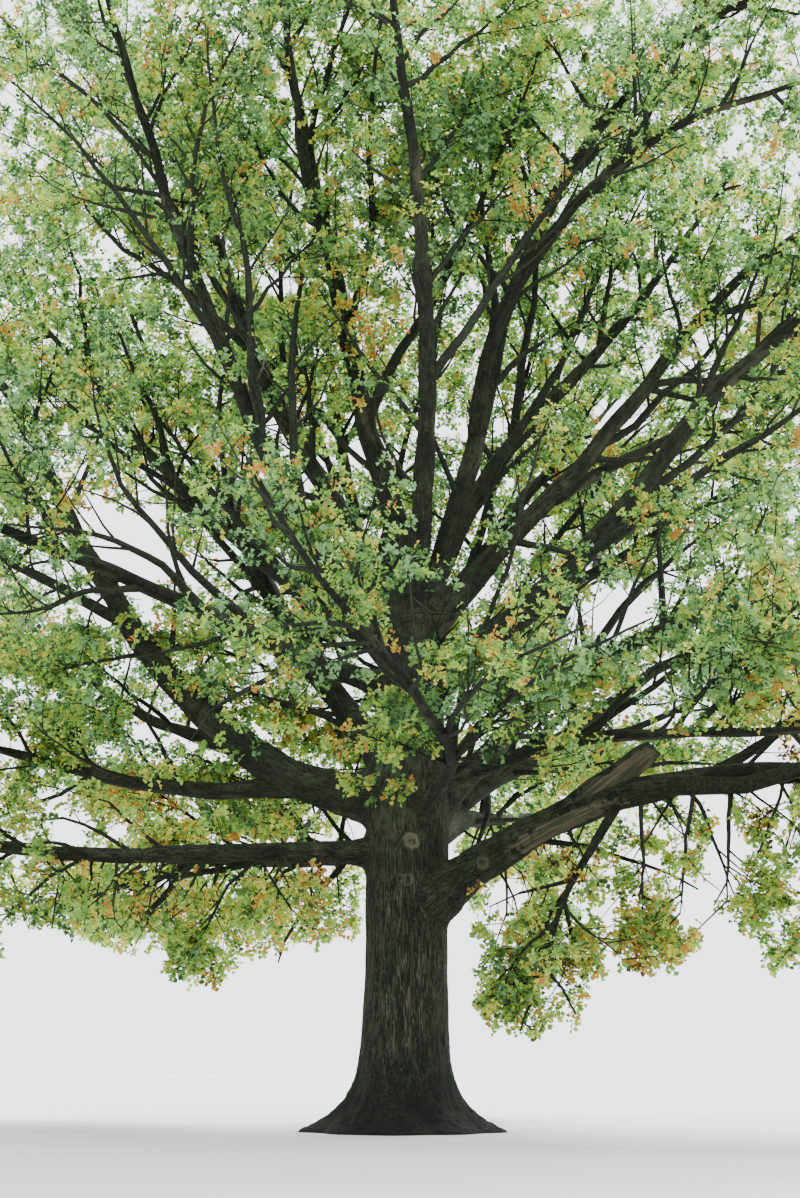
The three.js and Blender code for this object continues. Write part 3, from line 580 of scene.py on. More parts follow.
def grow_mass(limb, tree):
    """One mass: twigs round the stem, a blade on each twig's end and more off its sides."""
    draw = seeded(SPRAY["seed"] + SPRAY["seed_a_mass"] * (limb.index + 1))
    twigs, blades = [], []
    start = limb.bare + 0.3 / limb.length
    taken = []
    for i in range(math.floor(limb.bare * STEPS) + 1, STEPS + 1, 3):
        taken.append((limb.points[i - 1], limb.points[min(i + 2, STEPS)]))
    for i in range(SPRAY["tries"]):
        if len(twigs) == SPRAY["twigs"]:
            break
        order = i % SPRAY["twigs"] + (0.5 if i >= SPRAY["twigs"] else 0)
        s = start + ((0.97 - start) * (order + 0.3 + 0.4 * draw())) / SPRAY["twigs"]
        around = math.radians(SPRAY["step_around"] * i + 40 * draw())
        low, high = SPRAY["spread"]
        spread = math.radians(low + (high - low) * draw())
        share = (s - limb.bare) / (1 - limb.bare)
        full = limb.spray * SPRAY["twig_length"] * (1.12 - 0.3 * share) * (0.9 + 0.2 * draw())
        hang = limb.hang * (0.6 + 0.6 * draw())
        lean = seeded(SPRAY["seed"] + SPRAY["seed_a_twig"] * (i + 1) + limb.index)
        for size in (1, 0.8):
            twig = twig_course(limb, s, around, spread, full * size, hang)
            twig["normal"] = blade_normal(twig["tip"], lean)
            wood = (twig["root"] + (twig["neck"] - twig["root"]) * 0.25, twig["neck"])
            outline = [wood, *blade_segments(twig)]
            clear = all(tree.keeps_clear(a, b, SPRAY["wood_radius"], limb) for a, b in outline)
            if clear and stays_apart(outline, taken):
                twig["wood"] = wood
                twigs.append(twig)
                taken.extend(outline)
                break
    for twig in twigs:
        for k in range(SPRAY["side_blades"]):
            at = 0.42 + 0.34 * k + 0.08 * draw()
            neck = twig["root"] + (twig["neck"] - twig["root"]) * at
            turn = (1 if k % 2 else -1) * (0.8 + 0.3 * draw())
            across = unit(np.cross(twig["normal"], twig["heading"]))
            tip = unit(twig["heading"] + across * turn * 1.6 - UP * limb.hang * 0.5)
            reach = SPRAY["blade_length"] * limb.spray
            blade = blade_from(neck, tip, reach, SPRAY["side_widest"], limb.spray)
            blade["normal"] = blade_normal(tip, draw)
            outline = blade_segments(blade)
            others = [pair for pair in taken if pair[0] is not twig["wood"][0]]
            off = [(a + (b - a) * 0.15, b) if a is neck else (a, b) for a, b in outline]
            clear = all(tree.keeps_clear(a, b, SPRAY["wood_radius"], limb) for a, b in outline)
            if clear and stays_apart(off, others):
                blades.append(blade)
                taken.extend(outline)
    return twigs, blades


TREE = Tree()
MASSES = [grow_mass(limb, TREE) for limb in TREE.limbs]


def arithmetic(operation, turned=False):
    """An operator that adds a Math node, with its two values turned round or not."""

    def apply(self, other):
        return self.math(operation, *((other, self) if turned else (self, other)))

    return apply


class Socket:
    """A shader value that takes part in Python arithmetic and adds its own Math nodes."""

    __add__ = arithmetic("ADD")
    __sub__ = arithmetic("SUBTRACT")
    __rsub__ = arithmetic("SUBTRACT", turned=True)
    __mul__ = arithmetic("MULTIPLY")
    __truediv__ = arithmetic("DIVIDE")

    def __init__(self, nodes, socket):
        self.nodes = nodes
        self.socket = socket

    def math(self, operation, *values):
        return self.nodes.add("ShaderNodeMath", dict(enumerate(values)), operation=operation)[0]

    def absolute(self):
        return self.math("ABSOLUTE", self)

    def between(self, low, high):
        """0 below low, 1 above high, smooth in between."""
        inputs = {"Value": self, "From Min": low, "From Max": high}
        return self.nodes.add("ShaderNodeMapRange", inputs, interpolation_type="SMOOTHSTEP")[0]


class Nodes:
    """Adds nodes to one node tree and links them."""

    def __init__(self, tree):
        self.tree = tree

    def add(self, kind, inputs=None, **settings):
        """Adds a node with its inputs and settings, and gives its outputs."""
        node = self.tree.nodes.new(kind)
        for key, value in settings.items():
            setattr(node, key, value)
        for key, value in (inputs or {}).items():
            if isinstance(value, Socket):
                self.tree.links.new(value.socket, node.inputs[key])
            else:
                node.inputs[key].default_value = value
        return [Socket(self, output) for output in node.outputs]

    def mix(self, factor, first, second):
        """Mixes two colours."""
        first, second = (value if isinstance(value, Socket) else (*value, 1) for value in (first, second))
        return self.add("ShaderNodeMix", {0: factor, 6: first, 7: second}, data_type="RGBA")[2]

    def noise(self, vector, scale, detail, roughness, distortion=0.0):
        inputs = {"Vector": vector, "Scale": scale, "Detail": detail, "Roughness": roughness,
                  "Distortion": distortion}
        return self.add("ShaderNodeTexNoise", inputs)[0]

    def streaks(self, grain, squeeze, *look):
        """Noise drawn out along the grain."""
        drawn = self.add("ShaderNodeVectorMath", {0: grain, 1: (1, 1, squeeze)}, operation="MULTIPLY")[0]
        return self.noise(drawn, *look)

    def parts(self, vector):
        return self.add("ShaderNodeSeparateXYZ", {0: vector})

    def attribute(self, name):
        return self.add("ShaderNodeAttribute", attribute_name=name)

    def coat(self, colour, roughness, specular, **bump):
        """A plain surface, with a bump where its strength, distance and height are given."""
        inputs = {"Base Color": colour, "Roughness": roughness, "Specular IOR Level": specular}
        if bump:
            values = {key.title(): value for key, value in bump.items()}
            inputs["Normal"] = self.add("ShaderNodeBump", values)[0]
        return self.add("ShaderNodeBsdfPrincipled", inputs)[0]

    def finish(self, shader):
        self.add("ShaderNodeOutputMaterial", {"Surface": shader})


def fresh_material(name):
    material = bpy.data.materials.new(name)
    material.use_nodes = True
    material.node_tree.nodes.clear()
    return material, Nodes(material.node_tree)


def bark_material(wood):
    """Dark ridged bark with fissures along the grain, green algae, moss and pale worn patches, painted shade
    over the upper wood and painted light in the moss on its up-facing crests.
    """
    material, nodes = fresh_material("oak_bark")
    grain = nodes.attribute("grain")[1]
    place = nodes.add("ShaderNodeTexCoord")[3]
    across, ahead, height = nodes.parts(place)
    facing = nodes.parts(nodes.add("ShaderNodeNewGeometry")[1])[2]
    high = height.between(2.6, 4.6)
    broad = nodes.streaks(grain, 0.1, 24, 3, 0.55, 0.25)
    narrow = nodes.streaks(grain, 0.16, 62, 3, 0.6, 0.3)
    crest = ((broad - 0.5).absolute() * 7).between(0.0, 1.0)
    fine = ((narrow - 0.5).absolute() * 6).between(0.0, 1.0)
    crumb = nodes.noise(place, 85, 3, 0.6)
    patch = nodes.noise(place, 1.1, 4, 0.6)
    mottle = nodes.noise(place, 7, 5, 0.68).between(0.3, 0.7)
    ridged = crest * 0.5 + fine * 0.5
    relief = ridged * (1 - high * 0.4) + mottle * high * 0.4
    tone = nodes.mix(relief.between(0.15, 0.85), wood.fissure_and_shade_colour, wood.ridge_colour)
    fleck = nodes.streaks(grain, 0.28, 44, 2, 0.5).between(0.6, 0.7)
    tone = nodes.mix(fleck * patch.between(0.35, 0.6) * 0.85, tone, wood.worn_colour)
    lines = nodes.streaks(grain, 0.08, 26, 1, 0.4, 0.2)
    broken = nodes.streaks(grain, 0.3, 8, 3, 0.6).between(0.4, 0.6)
    line = (1 - (lines - 0.5).absolute() * 17).between(0.0, 0.7) * broken
    middle = 1 - (across - 0.02).absolute().between(0.22, 0.42)
    rubbed = nodes.mix(middle * 0.8 + patch.between(0.5, 0.64) * 0.2, wood.moss_and_lit_top_colour, wood.worn_colour)
    tone = nodes.mix(line * (0.78 - high * 0.4), tone, rubbed)
    # Painted shade: the wood above the trunk's foot is darkened towards the fissure colour, more on its
    # up-facing sides and on the limbs towards the front, which stand against the light.
    front = 1 - ahead.between(-3.2, -0.9)
    shade = high * (facing.between(0.2, 0.8) * 0.2 + front * 0.2 + 0.4)
    tone = nodes.mix(shade, tone, wood.fissure_and_shade_colour)
    # Moss and algae in patches on the crests of the upper wood, most on its up-facing sides, and a little at
    # the trunk's foot; the lighter green on the limbs' up-facing crests is partly painted light on their lit
    # tops.
    moss_and_lit_tops = (patch + facing * 0.22).between(0.42, 0.62) * high * wood.moss
    low = 1 - height.between(0.1, 1.6)
    moss = (moss_and_lit_tops * 1.3 + low * 0.15) * relief.between(0.1, 0.8)
    tone = nodes.mix(moss, tone, wood.moss_and_lit_top_colour)
    scuff = (nodes.streaks(grain, 0.35, 1.9, 5, 0.62) - facing * 0.12).between(0.62, 0.72)
    tone = nodes.mix(scuff * high * 0.25, tone, wood.pale_colour)
    hollow = nodes.streaks(grain, 0.2, 2.6, 2, 0.5).between(0.42, 0.58)
    foot = 1 - height.between(0.15, 1.7)
    tone = nodes.mix(foot * (hollow * 0.3 + 0.66), tone, wood.fissure_and_shade_colour)
    for centre, size, pale in KNOTS:
        off = nodes.add("ShaderNodeVectorMath", {0: place, 1: centre}, operation="DISTANCE")[1] / size
        worn = off + (mottle - 0.5) * 0.5
        ring = (1 - (worn - 0.75).absolute() * 2.4).between(0.0, 1.0)
        core = (1.1 - worn).between(0.0, 0.5)
        tone = nodes.mix((ring * 0.8 + core * 0.2) * (crumb + 0.2) * pale, tone, wood.pale_colour)
    edge = (nodes.attribute("bare")[2] + (mottle - 0.5) * 0.5).between(0.4, 0.7)
    fibre = nodes.streaks(grain, 0.05, 26, 3, 0.6)
    dead = nodes.mix(fibre.between(0.38, 0.62) * 0.8, wood.ridge_colour, wood.dead_colour)
    tone = nodes.mix(edge, tone, dead)
    nodes.finish(nodes.coat(tone, 0.95 - moss * 0.08, 0.2, strength=0.9, distance=wood.relief,
                            height=relief + crumb * 0.22))
    return material


def bark():
    return bpy.data.materials.get("oak_bark") or bark_material(bpy.context.scene.oak_wood)


def twig_bark(wood):
    """Thinner bark: dark, with grey and green flecks."""
    material, nodes = fresh_material("oak_twig_bark")
    place = nodes.add("ShaderNodeTexCoord")[3]
    fleck = nodes.noise(place, 24, 3, 0.6)
    patch = nodes.noise(place, 1.7, 3, 0.6)
    tone = nodes.mix(fleck.between(0.35, 0.7) * 0.5, wood.fissure_and_shade_colour, wood.ridge_colour)
    tone = nodes.mix(patch.between(0.5, 0.68) * 0.15, tone, wood.moss_and_lit_top_colour)
    nodes.finish(nodes.coat(tone, 0.93 - fleck * 0.1, 0.2, strength=0.6, distance=0.01, height=fleck))
    return material


def leaf_material(name, colour, glow):
    """A leaf that lets light through, in one plain colour."""
    material, nodes = fresh_material(name)
    lit = tuple(min(channel * gain, 1) for channel, gain in zip(colour, THROUGH_GAIN))
    face = nodes.coat((*colour, 1), 0.55, 0.35)
    through = nodes.add("ShaderNodeBsdfTranslucent", {"Color": (*lit, 1)})[0]
    nodes.finish(nodes.add("ShaderNodeMixShader", {0: glow, 1: face, 2: through})[0])
    return material


def object_from(name, vertices, faces=(), edges=(), attributes=None):
    """A new object at the origin, with its place in its mesh."""
    mesh = bpy.data.meshes.new(name)
    mesh.from_pydata(np.asarray(vertices).tolist(), list(edges), list(faces))
    for key, (kind, values) in (attributes or {}).items():
        layer = mesh.attributes.new(key, kind, "POINT")
        field = "value" if kind == "FLOAT" else "vector"
        layer.data.foreach_set(field, np.asarray(values, dtype=np.float32).ravel())
    piece = bpy.data.objects.new(name, mesh)
    bpy.context.collection.objects.link(piece)
    return piece


def baked(piece):
    """Replaces a piece's modifiers with the plain mesh that they make."""
    graph = bpy.context.evaluated_depsgraph_get()
    mesh = bpy.data.meshes.new_from_object(piece.evaluated_get(graph))
    old = piece.data
    piece.modifiers.clear()
    piece.data = mesh
    mesh.name = piece.name
    bpy.data.meshes.remove(old)
    return piece


def round_angles(count):
    return np.linspace(0, 2 * math.pi, count, endpoint=False)


def tube_faces(rings, count):
    """The quads between rings of corners, and two flat ends."""
    faces = []
    for i in range(rings - 1):
        for j in range(count):
            k = (j + 1) % count
            faces.append((i * count + j, i * count + k, (i + 1) * count + k, (i + 1) * count + j))
    last = (rings - 1) * count
    return faces + [tuple(range(count - 1, -1, -1)), tuple(range(last, last + count))]


def tube(centres, sides, others, radii, count):
    """Rings of corners round a course, with flat ends."""
    turn = round_angles(count)
    ring = np.cos(turn)[None, :, None] * sides[:, None] + np.sin(turn)[None, :, None] * others[:, None]
    spots = centres[:, None] + ring * np.asarray(radii)[:, None, None]
    return spots.reshape(-1, 3), tube_faces(len(centres), count)


def lumpy_tube(centres, sides, others, radii, count, along, lumps, swell=1.0):
    """A tube with lumps in its bark, and the place of each corner on the grain."""
    spots, faces = tube(centres, sides, others, radii * swell, count)
    turn = np.tile(round_angles(count), len(centres))
    wide = np.repeat(radii, count)
    local = np.stack([np.cos(turn) * wide, np.sin(turn) * wide, np.repeat(along, count)], 1)
    scale, depth, offset = lumps
    lump = scaled_noise(local * LUMP_STRETCH, scale, offset) * depth
    return spots + (spots - np.repeat(centres, count, axis=0)) * lump[:, None], faces, local


def joined(parts):
    """The corners and faces of several parts as those of one mesh."""
    corners, faces, shift = [], [], 0
    for spots, quads in parts:
        corners.append(spots)
        faces.extend(tuple(corner + shift for corner in quad) for quad in quads)
        shift += len(spots)
    return np.concatenate(corners), faces


def limb_rings(limb, start, stop, spacing):
    """Where a limb's rings lie, with two ways across it and its radius at each."""
    rings = max(int(math.ceil((stop - start) * limb.length / spacing)), 3)
    shares = np.linspace(start, stop, rings + 1)
    centres, heads, sides, radii = (np.array([measured(s) for s in shares]) for measured in (
        limb.point, limb.direction, limb.side, limb.radius))
    return shares, centres, sides, np.cross(heads, sides), radii


def kinked(limb, shares, centres, sides, others):
    """Small kinks along a limb, none at its root."""
    grow = np.clip(shares * limb.length / KINK_START, 0, 1) * KINK_DEPTH
    for k, (share, strength) in enumerate(zip(shares, grow)):
        place = Vector((share * limb.length * 0.9, limb.index * 7.3, 0.5))
        centres[k] += sides[k] * noise.noise(place) * strength
        centres[k] += others[k] * noise.noise(place + Vector((0, 0, 9.1))) * strength
    return centres


def scaled_noise(points, scale, offset=0.0):
    return np.array([noise.noise(Vector(point * scale) + Vector((offset, 0, 0))) for point in points])


def off_shaft(points):
    """How far each point lies outside the trunk's plain shaft."""
    return np.hypot(points[:, 0] - TRUNK["lean"] * points[:, 2], points[:, 1]) - shaft_radius(points[:, 2])


def grain_of(points, reach):
    """Each corner's place along and around the limb or trunk that it lies on."""
    z = points[:, 2]
    best = off_shaft(points) - 0.9 * np.exp(-z / 0.4)
    best[z > TRUNK["top_height"]] = FAR
    grain = np.stack([points[:, 0] - TRUNK["lean"] * z, points[:, 1], z], 1)
    for limb in TREE.roots:
        for i in range(int(reach / limb.length * STEPS) + 2):
            a, b = limb.points[i], limb.points[i + 1]
            ab = b - a
            t = np.clip((points - a) @ ab / ab.dot(ab), 0, 1)
            off = points - (a + ab * t[:, None])
            away = np.linalg.norm(off, axis=1) - limb.radius(i / STEPS)
            nearer = away < best
            side = limb.sides[i]
            other = np.cross(limb.direction((i + 0.5) / STEPS), side)
            length = (i + t) * limb.length / STEPS + limb.index * GRAIN_STEP
            local = np.stack([off @ side, off @ other, length], 1)
            best[nearer] = away[nearer]
            grain[nearer] = local[nearer]
    return grain


def root_thickness(points):
    """The base radius of the limb root nearest to each corner."""
    best = np.full(len(points), FAR)
    thick = np.zeros(len(points))
    for limb in TREE.roots:
        a, b = limb.points[0], limb.point(ROOT_REACH / limb.length)
        t = np.clip((points - a) @ (b - a) / (b - a).dot(b - a), 0, 1)
        away = np.linalg.norm(points - (a + (b - a) * t[:, None]), axis=1) - limb.base
        thick[away < best] = limb.base
        best = np.minimum(best, away)
    return thick


def knot_relief(points):
    """Round scars where old boughs were shed, as raised rings."""
    lift = np.zeros(len(points))
    for centre, size, _ in KNOTS:
        far = np.linalg.norm(points - np.array(centre), axis=1)
        lift += SCAR_RIM * np.exp(-(((far - size) / (size * 0.3)) ** 2))
        lift -= SCAR_DIP * np.exp(-((far / (size * 0.6)) ** 2))
    return lift


def amount(name, description, default, least=0.0, **kind):
    return bpy.props.FloatProperty(name=name, description=description, default=default, min=least, **kind)


def measure(name, description, default, least=0.0):
    return amount(name, description, default, least, unit="LENGTH")


def portion(name, description, default):
    return amount(name, description, default, max=1, subtype="FACTOR")


def colour(name, description, *default):
    return bpy.props.FloatVectorProperty(
        name=name, description=description, default=default, subtype="COLOR")


class OakWood(bpy.types.PropertyGroup):
    relief: measure("Bark relief", "Depth of the bark's fissures", 0.035)
    flute: measure("Flutes", "Depth of the long swells down the trunk", 0.03)
    grid: measure("Trunk grid", "Size of the trunk's mesh cells", 0.034, 0.01)
    # Also sets how much painted light lies in the moss on the limbs' up-facing crests.
    moss: portion("Moss", "How much of the bark is green", 0.55)
    ridge_colour: colour("Ridges", "Colour of the bark's crests", 0.04, 0.05, 0.03)
    # Also the colour of the painted shade on the upper wood.
    fissure_and_shade_colour: colour("Fissures", "Colour deep in the bark", 0.0065, 0.0085, 0.0055)
    worn_colour: colour("Worn crests", "Colour of rubbed crests", 0.13, 0.104, 0.085)
    dead_colour: colour("Dead wood", "Weathered wood where bark is lost", 0.15, 0.122, 0.075)
    # Also painted light where it lies on the limbs' up-facing crests.
    moss_and_lit_top_colour: colour("Moss colour", "Colour of moss and algae", 0.055, 0.072, 0.035)
    pale_colour: colour("Pale patches", "Colour of bare pale patches", 0.17, 0.16, 0.1)


class OakLeaves(bpy.types.PropertyGroup):
    length: measure("Leaf length", "Length of one leaf", 0.155, 0.05)
    width: measure("Leaf width", "Width of one leaf across its lobes", 0.09, 0.03)
    fold: measure("Fold", "How far the leaf's sides rise from its midrib", 0.02)
    shoots: bpy.props.IntProperty(name="Shoots", description="Side shoots in one spray", default=18, min=3)
    each: bpy.props.IntProperty(name="Leaves", description="Leaves on one shoot", default=8, min=3)
    branch_gap: measure("Branch gap", "Distance between side branches along a limb", 0.88, 0.3)
    curtain_gap: measure("Curtain gap", "Distance between hanging branches along a low limb", 0.26, 0.1)
    twig_gap: measure("Twig gap", "Distance between leafy twigs along a branch", 0.34, 0.1)
    glow: portion("Glow", "Share of light that passes through a leaf", 0.6)
    deep: colour("Deep green", "Shaded leaves", 0.04, 0.09, 0.035)
    blue: colour("Blue green", "Cool leaves in front", 0.2, 0.33, 0.18)
    green: colour("Green", "Most leaves", 0.15, 0.265, 0.08)
    light: colour("Light green", "Leaves turning yellow", 0.32, 0.43, 0.115)
    gold: colour("Gold", "Yellow leaves", 0.52, 0.44, 0.09)
    orange: colour("Orange", "Orange leaves", 0.44, 0.2, 0.05)
    brown: colour("Brown", "Dead leaves", 0.09, 0.04, 0.025)


class OakStage(bpy.types.PropertyGroup):
    distance: measure("Distance", "Camera's distance from the trunk", -EYE[1])
    height: measure("Height", "Camera's height above the ground", EYE[2])
    tilt: amount("Tilt", "How far the camera looks up", EYE_TILT, subtype="ANGLE")
    lens: amount("Lens", "Focal length on a frame 36 mm high", 50, 10, subtype="DISTANCE_CAMERA")
    floor: measure("Floor", "Width of the floor", 400, 10)
    sky: amount("Sky", "Strength of the light all round", 3.2)
    sun: amount("Key", "Strength of the soft key light", 10.0)


class OAK_OT_trunk(bpy.types.Operator):
    """Grow the trunk with its flare, its fluted shaft and the swollen roots of its limbs"""

    bl_idname = "oak.trunk"
    bl_label = "Trunk"

    def execute(self, context):
        wood = context.scene.oak_wood
        heights = np.concatenate([np.linspace(*TRUNK["foot_rings"]), np.linspace(*TRUNK["shaft_rings"])])
        bearings = np.linspace(0, 360, TRUNK["corners"], endpoint=False)
        angle = np.radians(bearings)
        outward = np.stack([np.cos(angle), np.sin(angle), np.zeros(len(angle))], 1)
        rings = []
        for z in heights:
            radii = np.array([trunk_radius(z, bearing) for bearing in bearings])
            rings.append(outward * radii[:, None] + trunk_centre(z))
        parts = [(np.concatenate(rings), tube_faces(len(heights), TRUNK["corners"]))]
        for limb in TREE.roots:
            stop = COLLAR / limb.length
            shares, centres, across, over, radii = limb_rings(limb, 0.012, stop, ROOT_SPACING)
            fade = np.clip((shares * limb.length - (COLLAR - ROOT_FADE)) / ROOT_FADE, 0, 1)
            fillet = 1 + FILLET * np.exp(-np.abs(off_shaft(centres)) / (0.85 * limb.base + 0.05))
            parts.append(tube(centres, across, over, radii * (1.0 - 0.12 * fade) * fillet, 28))
        piece = object_from("wood_trunk", *joined(parts))
        remesh = piece.modifiers.new("Shell", "REMESH")
        remesh.mode = "VOXEL"
        remesh.voxel_size = wood.grid
        smooth = piece.modifiers.new("Soften", "SMOOTH")
        smooth.factor = 0.5
        smooth.iterations = 7
        baked(piece)
        self.shape(piece.data, wood)
        piece.data.materials.append(bark())
        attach(piece, BODY)
        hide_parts("trunk")
        return {"FINISHED"}

    def faired(self, mesh, points):
        """Smooths the hollows between the trunk and the roots of its thick limbs."""
        edges = np.empty(len(mesh.edges) * 2, dtype=np.int64)
        mesh.edges.foreach_get("vertices", edges)
        edges = edges.reshape(-1, 2)
        ends, others = np.concatenate([edges, edges[:, ::-1]]).T
        count = np.bincount(ends, minlength=len(points))
        near = np.clip(1 - np.abs(off_shaft(points)) / FAIRING["reach"], 0, 1)
        near = near * np.clip((points[:, 2] - FAIRING["lowest"]) / FAIRING["rise"], 0, 1)
        thick = np.clip((root_thickness(points) - FAIRING["thickness"]) / FAIRING["thickness"], 0, 1)
        share = (near * thick)[:, None] * FAIRING["strength"]
        for _ in range(FAIRING["rounds"]):
            mean = np.stack([np.bincount(ends, points[others, axis], len(points)) for axis in range(3)], 1)
            points = points + (mean / count[:, None] - points) * share
        return points

    def shape(self, mesh, wood):
        """Lifts the bark's swells and scars out of the smooth shell, and levels its foot."""
        count = len(mesh.vertices)
        points, normals = np.empty(count * 3), np.empty(count * 3)
        mesh.vertices.foreach_get("co", points)
        mesh.vertices.foreach_get("normal", normals)
        normals = normals.reshape(-1, 3)
        points = self.faired(mesh, points.reshape(-1, 3))
        grain = grain_of(points, COLLAR)
        stretch = grain * SHAFT_STRETCH
        swell = 1 - 2 * np.abs(scaled_noise(stretch, SWELL_SCALE))
        ridge = 1 - 2.4 * np.abs(scaled_noise(stretch, RIDGE_SCALE, RIDGE_OFFSET))
        lift = (swell - 0.6) * wood.flute * 0.55 + (ridge - 0.6) * wood.flute * 0.4
        lift += knot_relief(points)
        level = np.clip(points[:, 2] / RELIEF_START, 0, 1)
        points += normals * (lift * level)[:, None]
        points[:, 2] = np.maximum(points[:, 2], 0)
        points[points[:, 2] < wood.grid * 0.6, 2] = 0
        mesh.vertices.foreach_set("co", points.ravel())
        layer = mesh.attributes.new("grain", "FLOAT_VECTOR", "POINT")
        layer.data.foreach_set("vector", grain.astype(np.float32).ravel())
        mesh.shade_smooth()
        mesh.update()


class OAK_OT_boughs(bpy.types.Operator):
    """Grow the boughs from the trunk to their tips, with kinks and swells in their bark"""

    bl_idname = "oak.boughs"
    bl_label = "Boughs"

    def execute(self, context):
        parts, grains, bares = [], [], []
        for limb in TREE.limbs:
            start = 0.0 if limb.parent else (COLLAR - BOUGH_OVERLAP) / limb.length
            shares, centres, across, over, radii = limb_rings(limb, start, 1.0, BOUGH_SPACING)
            if not limb.parent:
                radii[0] *= 0.9
            centres = kinked(limb, shares, centres, across, over)
            count = 20 if limb.base > 0.14 else 16
            along = shares * limb.length + limb.index * GRAIN_STEP
            spots, faces, local = lumpy_tube(centres, across, over, radii, count, along,
                                             (*BOUGH_LUMPS, limb.index * 2.0), BOUGH_SWELL)
            parts.append((spots, faces))
            grains.append(local)
            bares.append(self.bare_wood(limb, shares, count))
        spots, faces, local = self.broken_limb()
        parts.append((spots, faces))
        grains.append(local)
        bares.append(np.clip(0.2 + local[:, 0] * 3.0 - local[:, 1] * 2.6, 0, 1))
        piece = object_from("wood_boughs", *joined(parts), attributes={
            "grain": ("FLOAT_VECTOR", np.concatenate(grains)), "bare": ("FLOAT", np.concatenate(bares))})
        piece.data.shade_smooth()
        piece.data.materials.append(bark())
        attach(piece, BODY)
        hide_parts(*[f"bough_{limb.name}" for limb in TREE.limbs])
        return {"FINISHED"}

    def bare_wood(self, limb, shares, count):
        """How far the bark is lost at each corner: a long strip on the front of the low right bough."""
        if limb.name != "low_right":
            return np.zeros(len(shares) * count)
        turn = np.tile(round_angles(count), len(shares))
        along = np.clip(1 - np.abs(np.repeat(shares, count) - STRIP["at"]) / STRIP["reach"], 0, 1)
        return along ** 0.5 * np.clip(np.cos(turn - STRIP["turn"]) * 3.0 - 1.9, 0, 1)

    def broken_limb(self):
        """The stub of a strong limb that broke off above the low right bough's fork."""
        length, thick, thin = BROKEN_LIMB[4:]
        rings, count = 14, 24
        start, ahead, across = broken_course()
        shares = np.linspace(0, 1, rings)
        centres = start + ahead * (shares * length)[:, None] + UP * (0.04 * shares ** 2)[:, None]
        radii = (thick + (thin - thick) * shares) * np.where(shares > 0.95, 0.82, 1)
        sides, others = np.tile(across, (rings, 1)), np.tile(np.cross(across, ahead), (rings, 1))
        along = shares * length
        spots, faces, local = lumpy_tube(centres, sides, others, radii, count, along, STUB_LUMPS)
        splinter = np.where(np.repeat(shares, count) > 0.95, scaled_noise(local, 22.0, 8.0) * 0.12, 0)
        return spots + ahead * splinter[:, None], faces, local


def broken_course():
    """Where the broken limb starts, its way and a way across it."""
    host, s, bearing, rise = BROKEN_LIMB[:4]
    ahead = heading_of(math.radians(bearing), math.radians(rise))
    return TREE.named[host].point(s), ahead, unit(np.cross(ahead, UP))


def node_group(name, sockets):
    """A new geometry tree with named inputs, and its nodes."""
    group = bpy.data.node_groups.new(name, "GeometryNodeTree")
    face = group.interface
    for title, kind in {"Geometry": "NodeSocketGeometry", **sockets}.items():
        face.new_socket(title, in_out="INPUT", socket_type=kind)
    face.new_socket("Geometry", in_out="OUTPUT", socket_type="NodeSocketGeometry")
    nodes = Nodes(group)
    given = {output.socket.name: output for output in nodes.add("NodeGroupInput") if output.socket.name}
    return group, nodes, given


def stored(nodes, name, kind):
    return nodes.add("GeometryNodeInputNamedAttribute", {"Name": name}, data_type=kind)[0]


def end_real(nodes, geometry, material):
    """Ends a geometry tree in real meshes with their material."""
    real = nodes.add("GeometryNodeRealizeInstances", {0: geometry})[0]
    done = nodes.add("GeometryNodeSetMaterial", {0: real, "Material": material})[0]
    nodes.add("NodeGroupOutput", {0: done})


def twig_tree():
    """Round bars along every drawn edge, as thick as each point's girth."""
    sockets = {"Sides": "NodeSocketInt", "Bark": "NodeSocketMaterial"}
    group, nodes, given = node_group("Twigs Along Courses", sockets)
    curve = nodes.add("GeometryNodeMeshToCurve", {0: given["Geometry"]})[0]
    ring = nodes.add("GeometryNodeCurvePrimitiveCircle", {"Resolution": given["Sides"], "Radius": 1.0},
                     mode="RADIUS")[0]
    bars = nodes.add("GeometryNodeCurveToMesh", {
        "Curve": curve, "Profile Curve": ring, "Scale": stored(nodes, "girth", "FLOAT"),
        "Fill Caps": True})[0]
    end_real(nodes, bars, given["Bark"])
    return group


def leaf_tree():
    """One leaf on every point, turned along and faced as the point says."""
    sockets = {"Leaf": "NodeSocketObject", "Tint": "NodeSocketMaterial"}
    group, nodes, given = node_group("Leaves On Points", sockets)
    leaf = nodes.add("GeometryNodeObjectInfo", {0: given["Leaf"]}, transform_space="ORIGINAL")
    shape = next(output for output in leaf if output.socket.name == "Geometry")
    axes = {0: stored(nodes, "along", "FLOAT_VECTOR"), 1: stored(nodes, "face", "FLOAT_VECTOR")}
    turn = nodes.add("FunctionNodeAxesToRotation", axes, primary_axis="Y", secondary_axis="Z")[0]
    spread = nodes.add("GeometryNodeInstanceOnPoints", {
        "Points": given["Geometry"], "Instance": shape, "Rotation": turn,
        "Scale": stored(nodes, "size", "FLOAT")})[0]
    end_real(nodes, spread, given["Tint"])
    return group


def run_nodes(piece, group, values):
    """Runs a geometry tree on a piece with its inputs set by identifier."""
    modifier = piece.modifiers.new(group.name, "NODES")
    modifier.node_group = group
    for item in group.interface.items_tree:
        if item.item_type == "SOCKET" and item.in_out == "INPUT" and item.name in values:
            modifier[item.identifier] = values[item.name]
    return baked(piece)


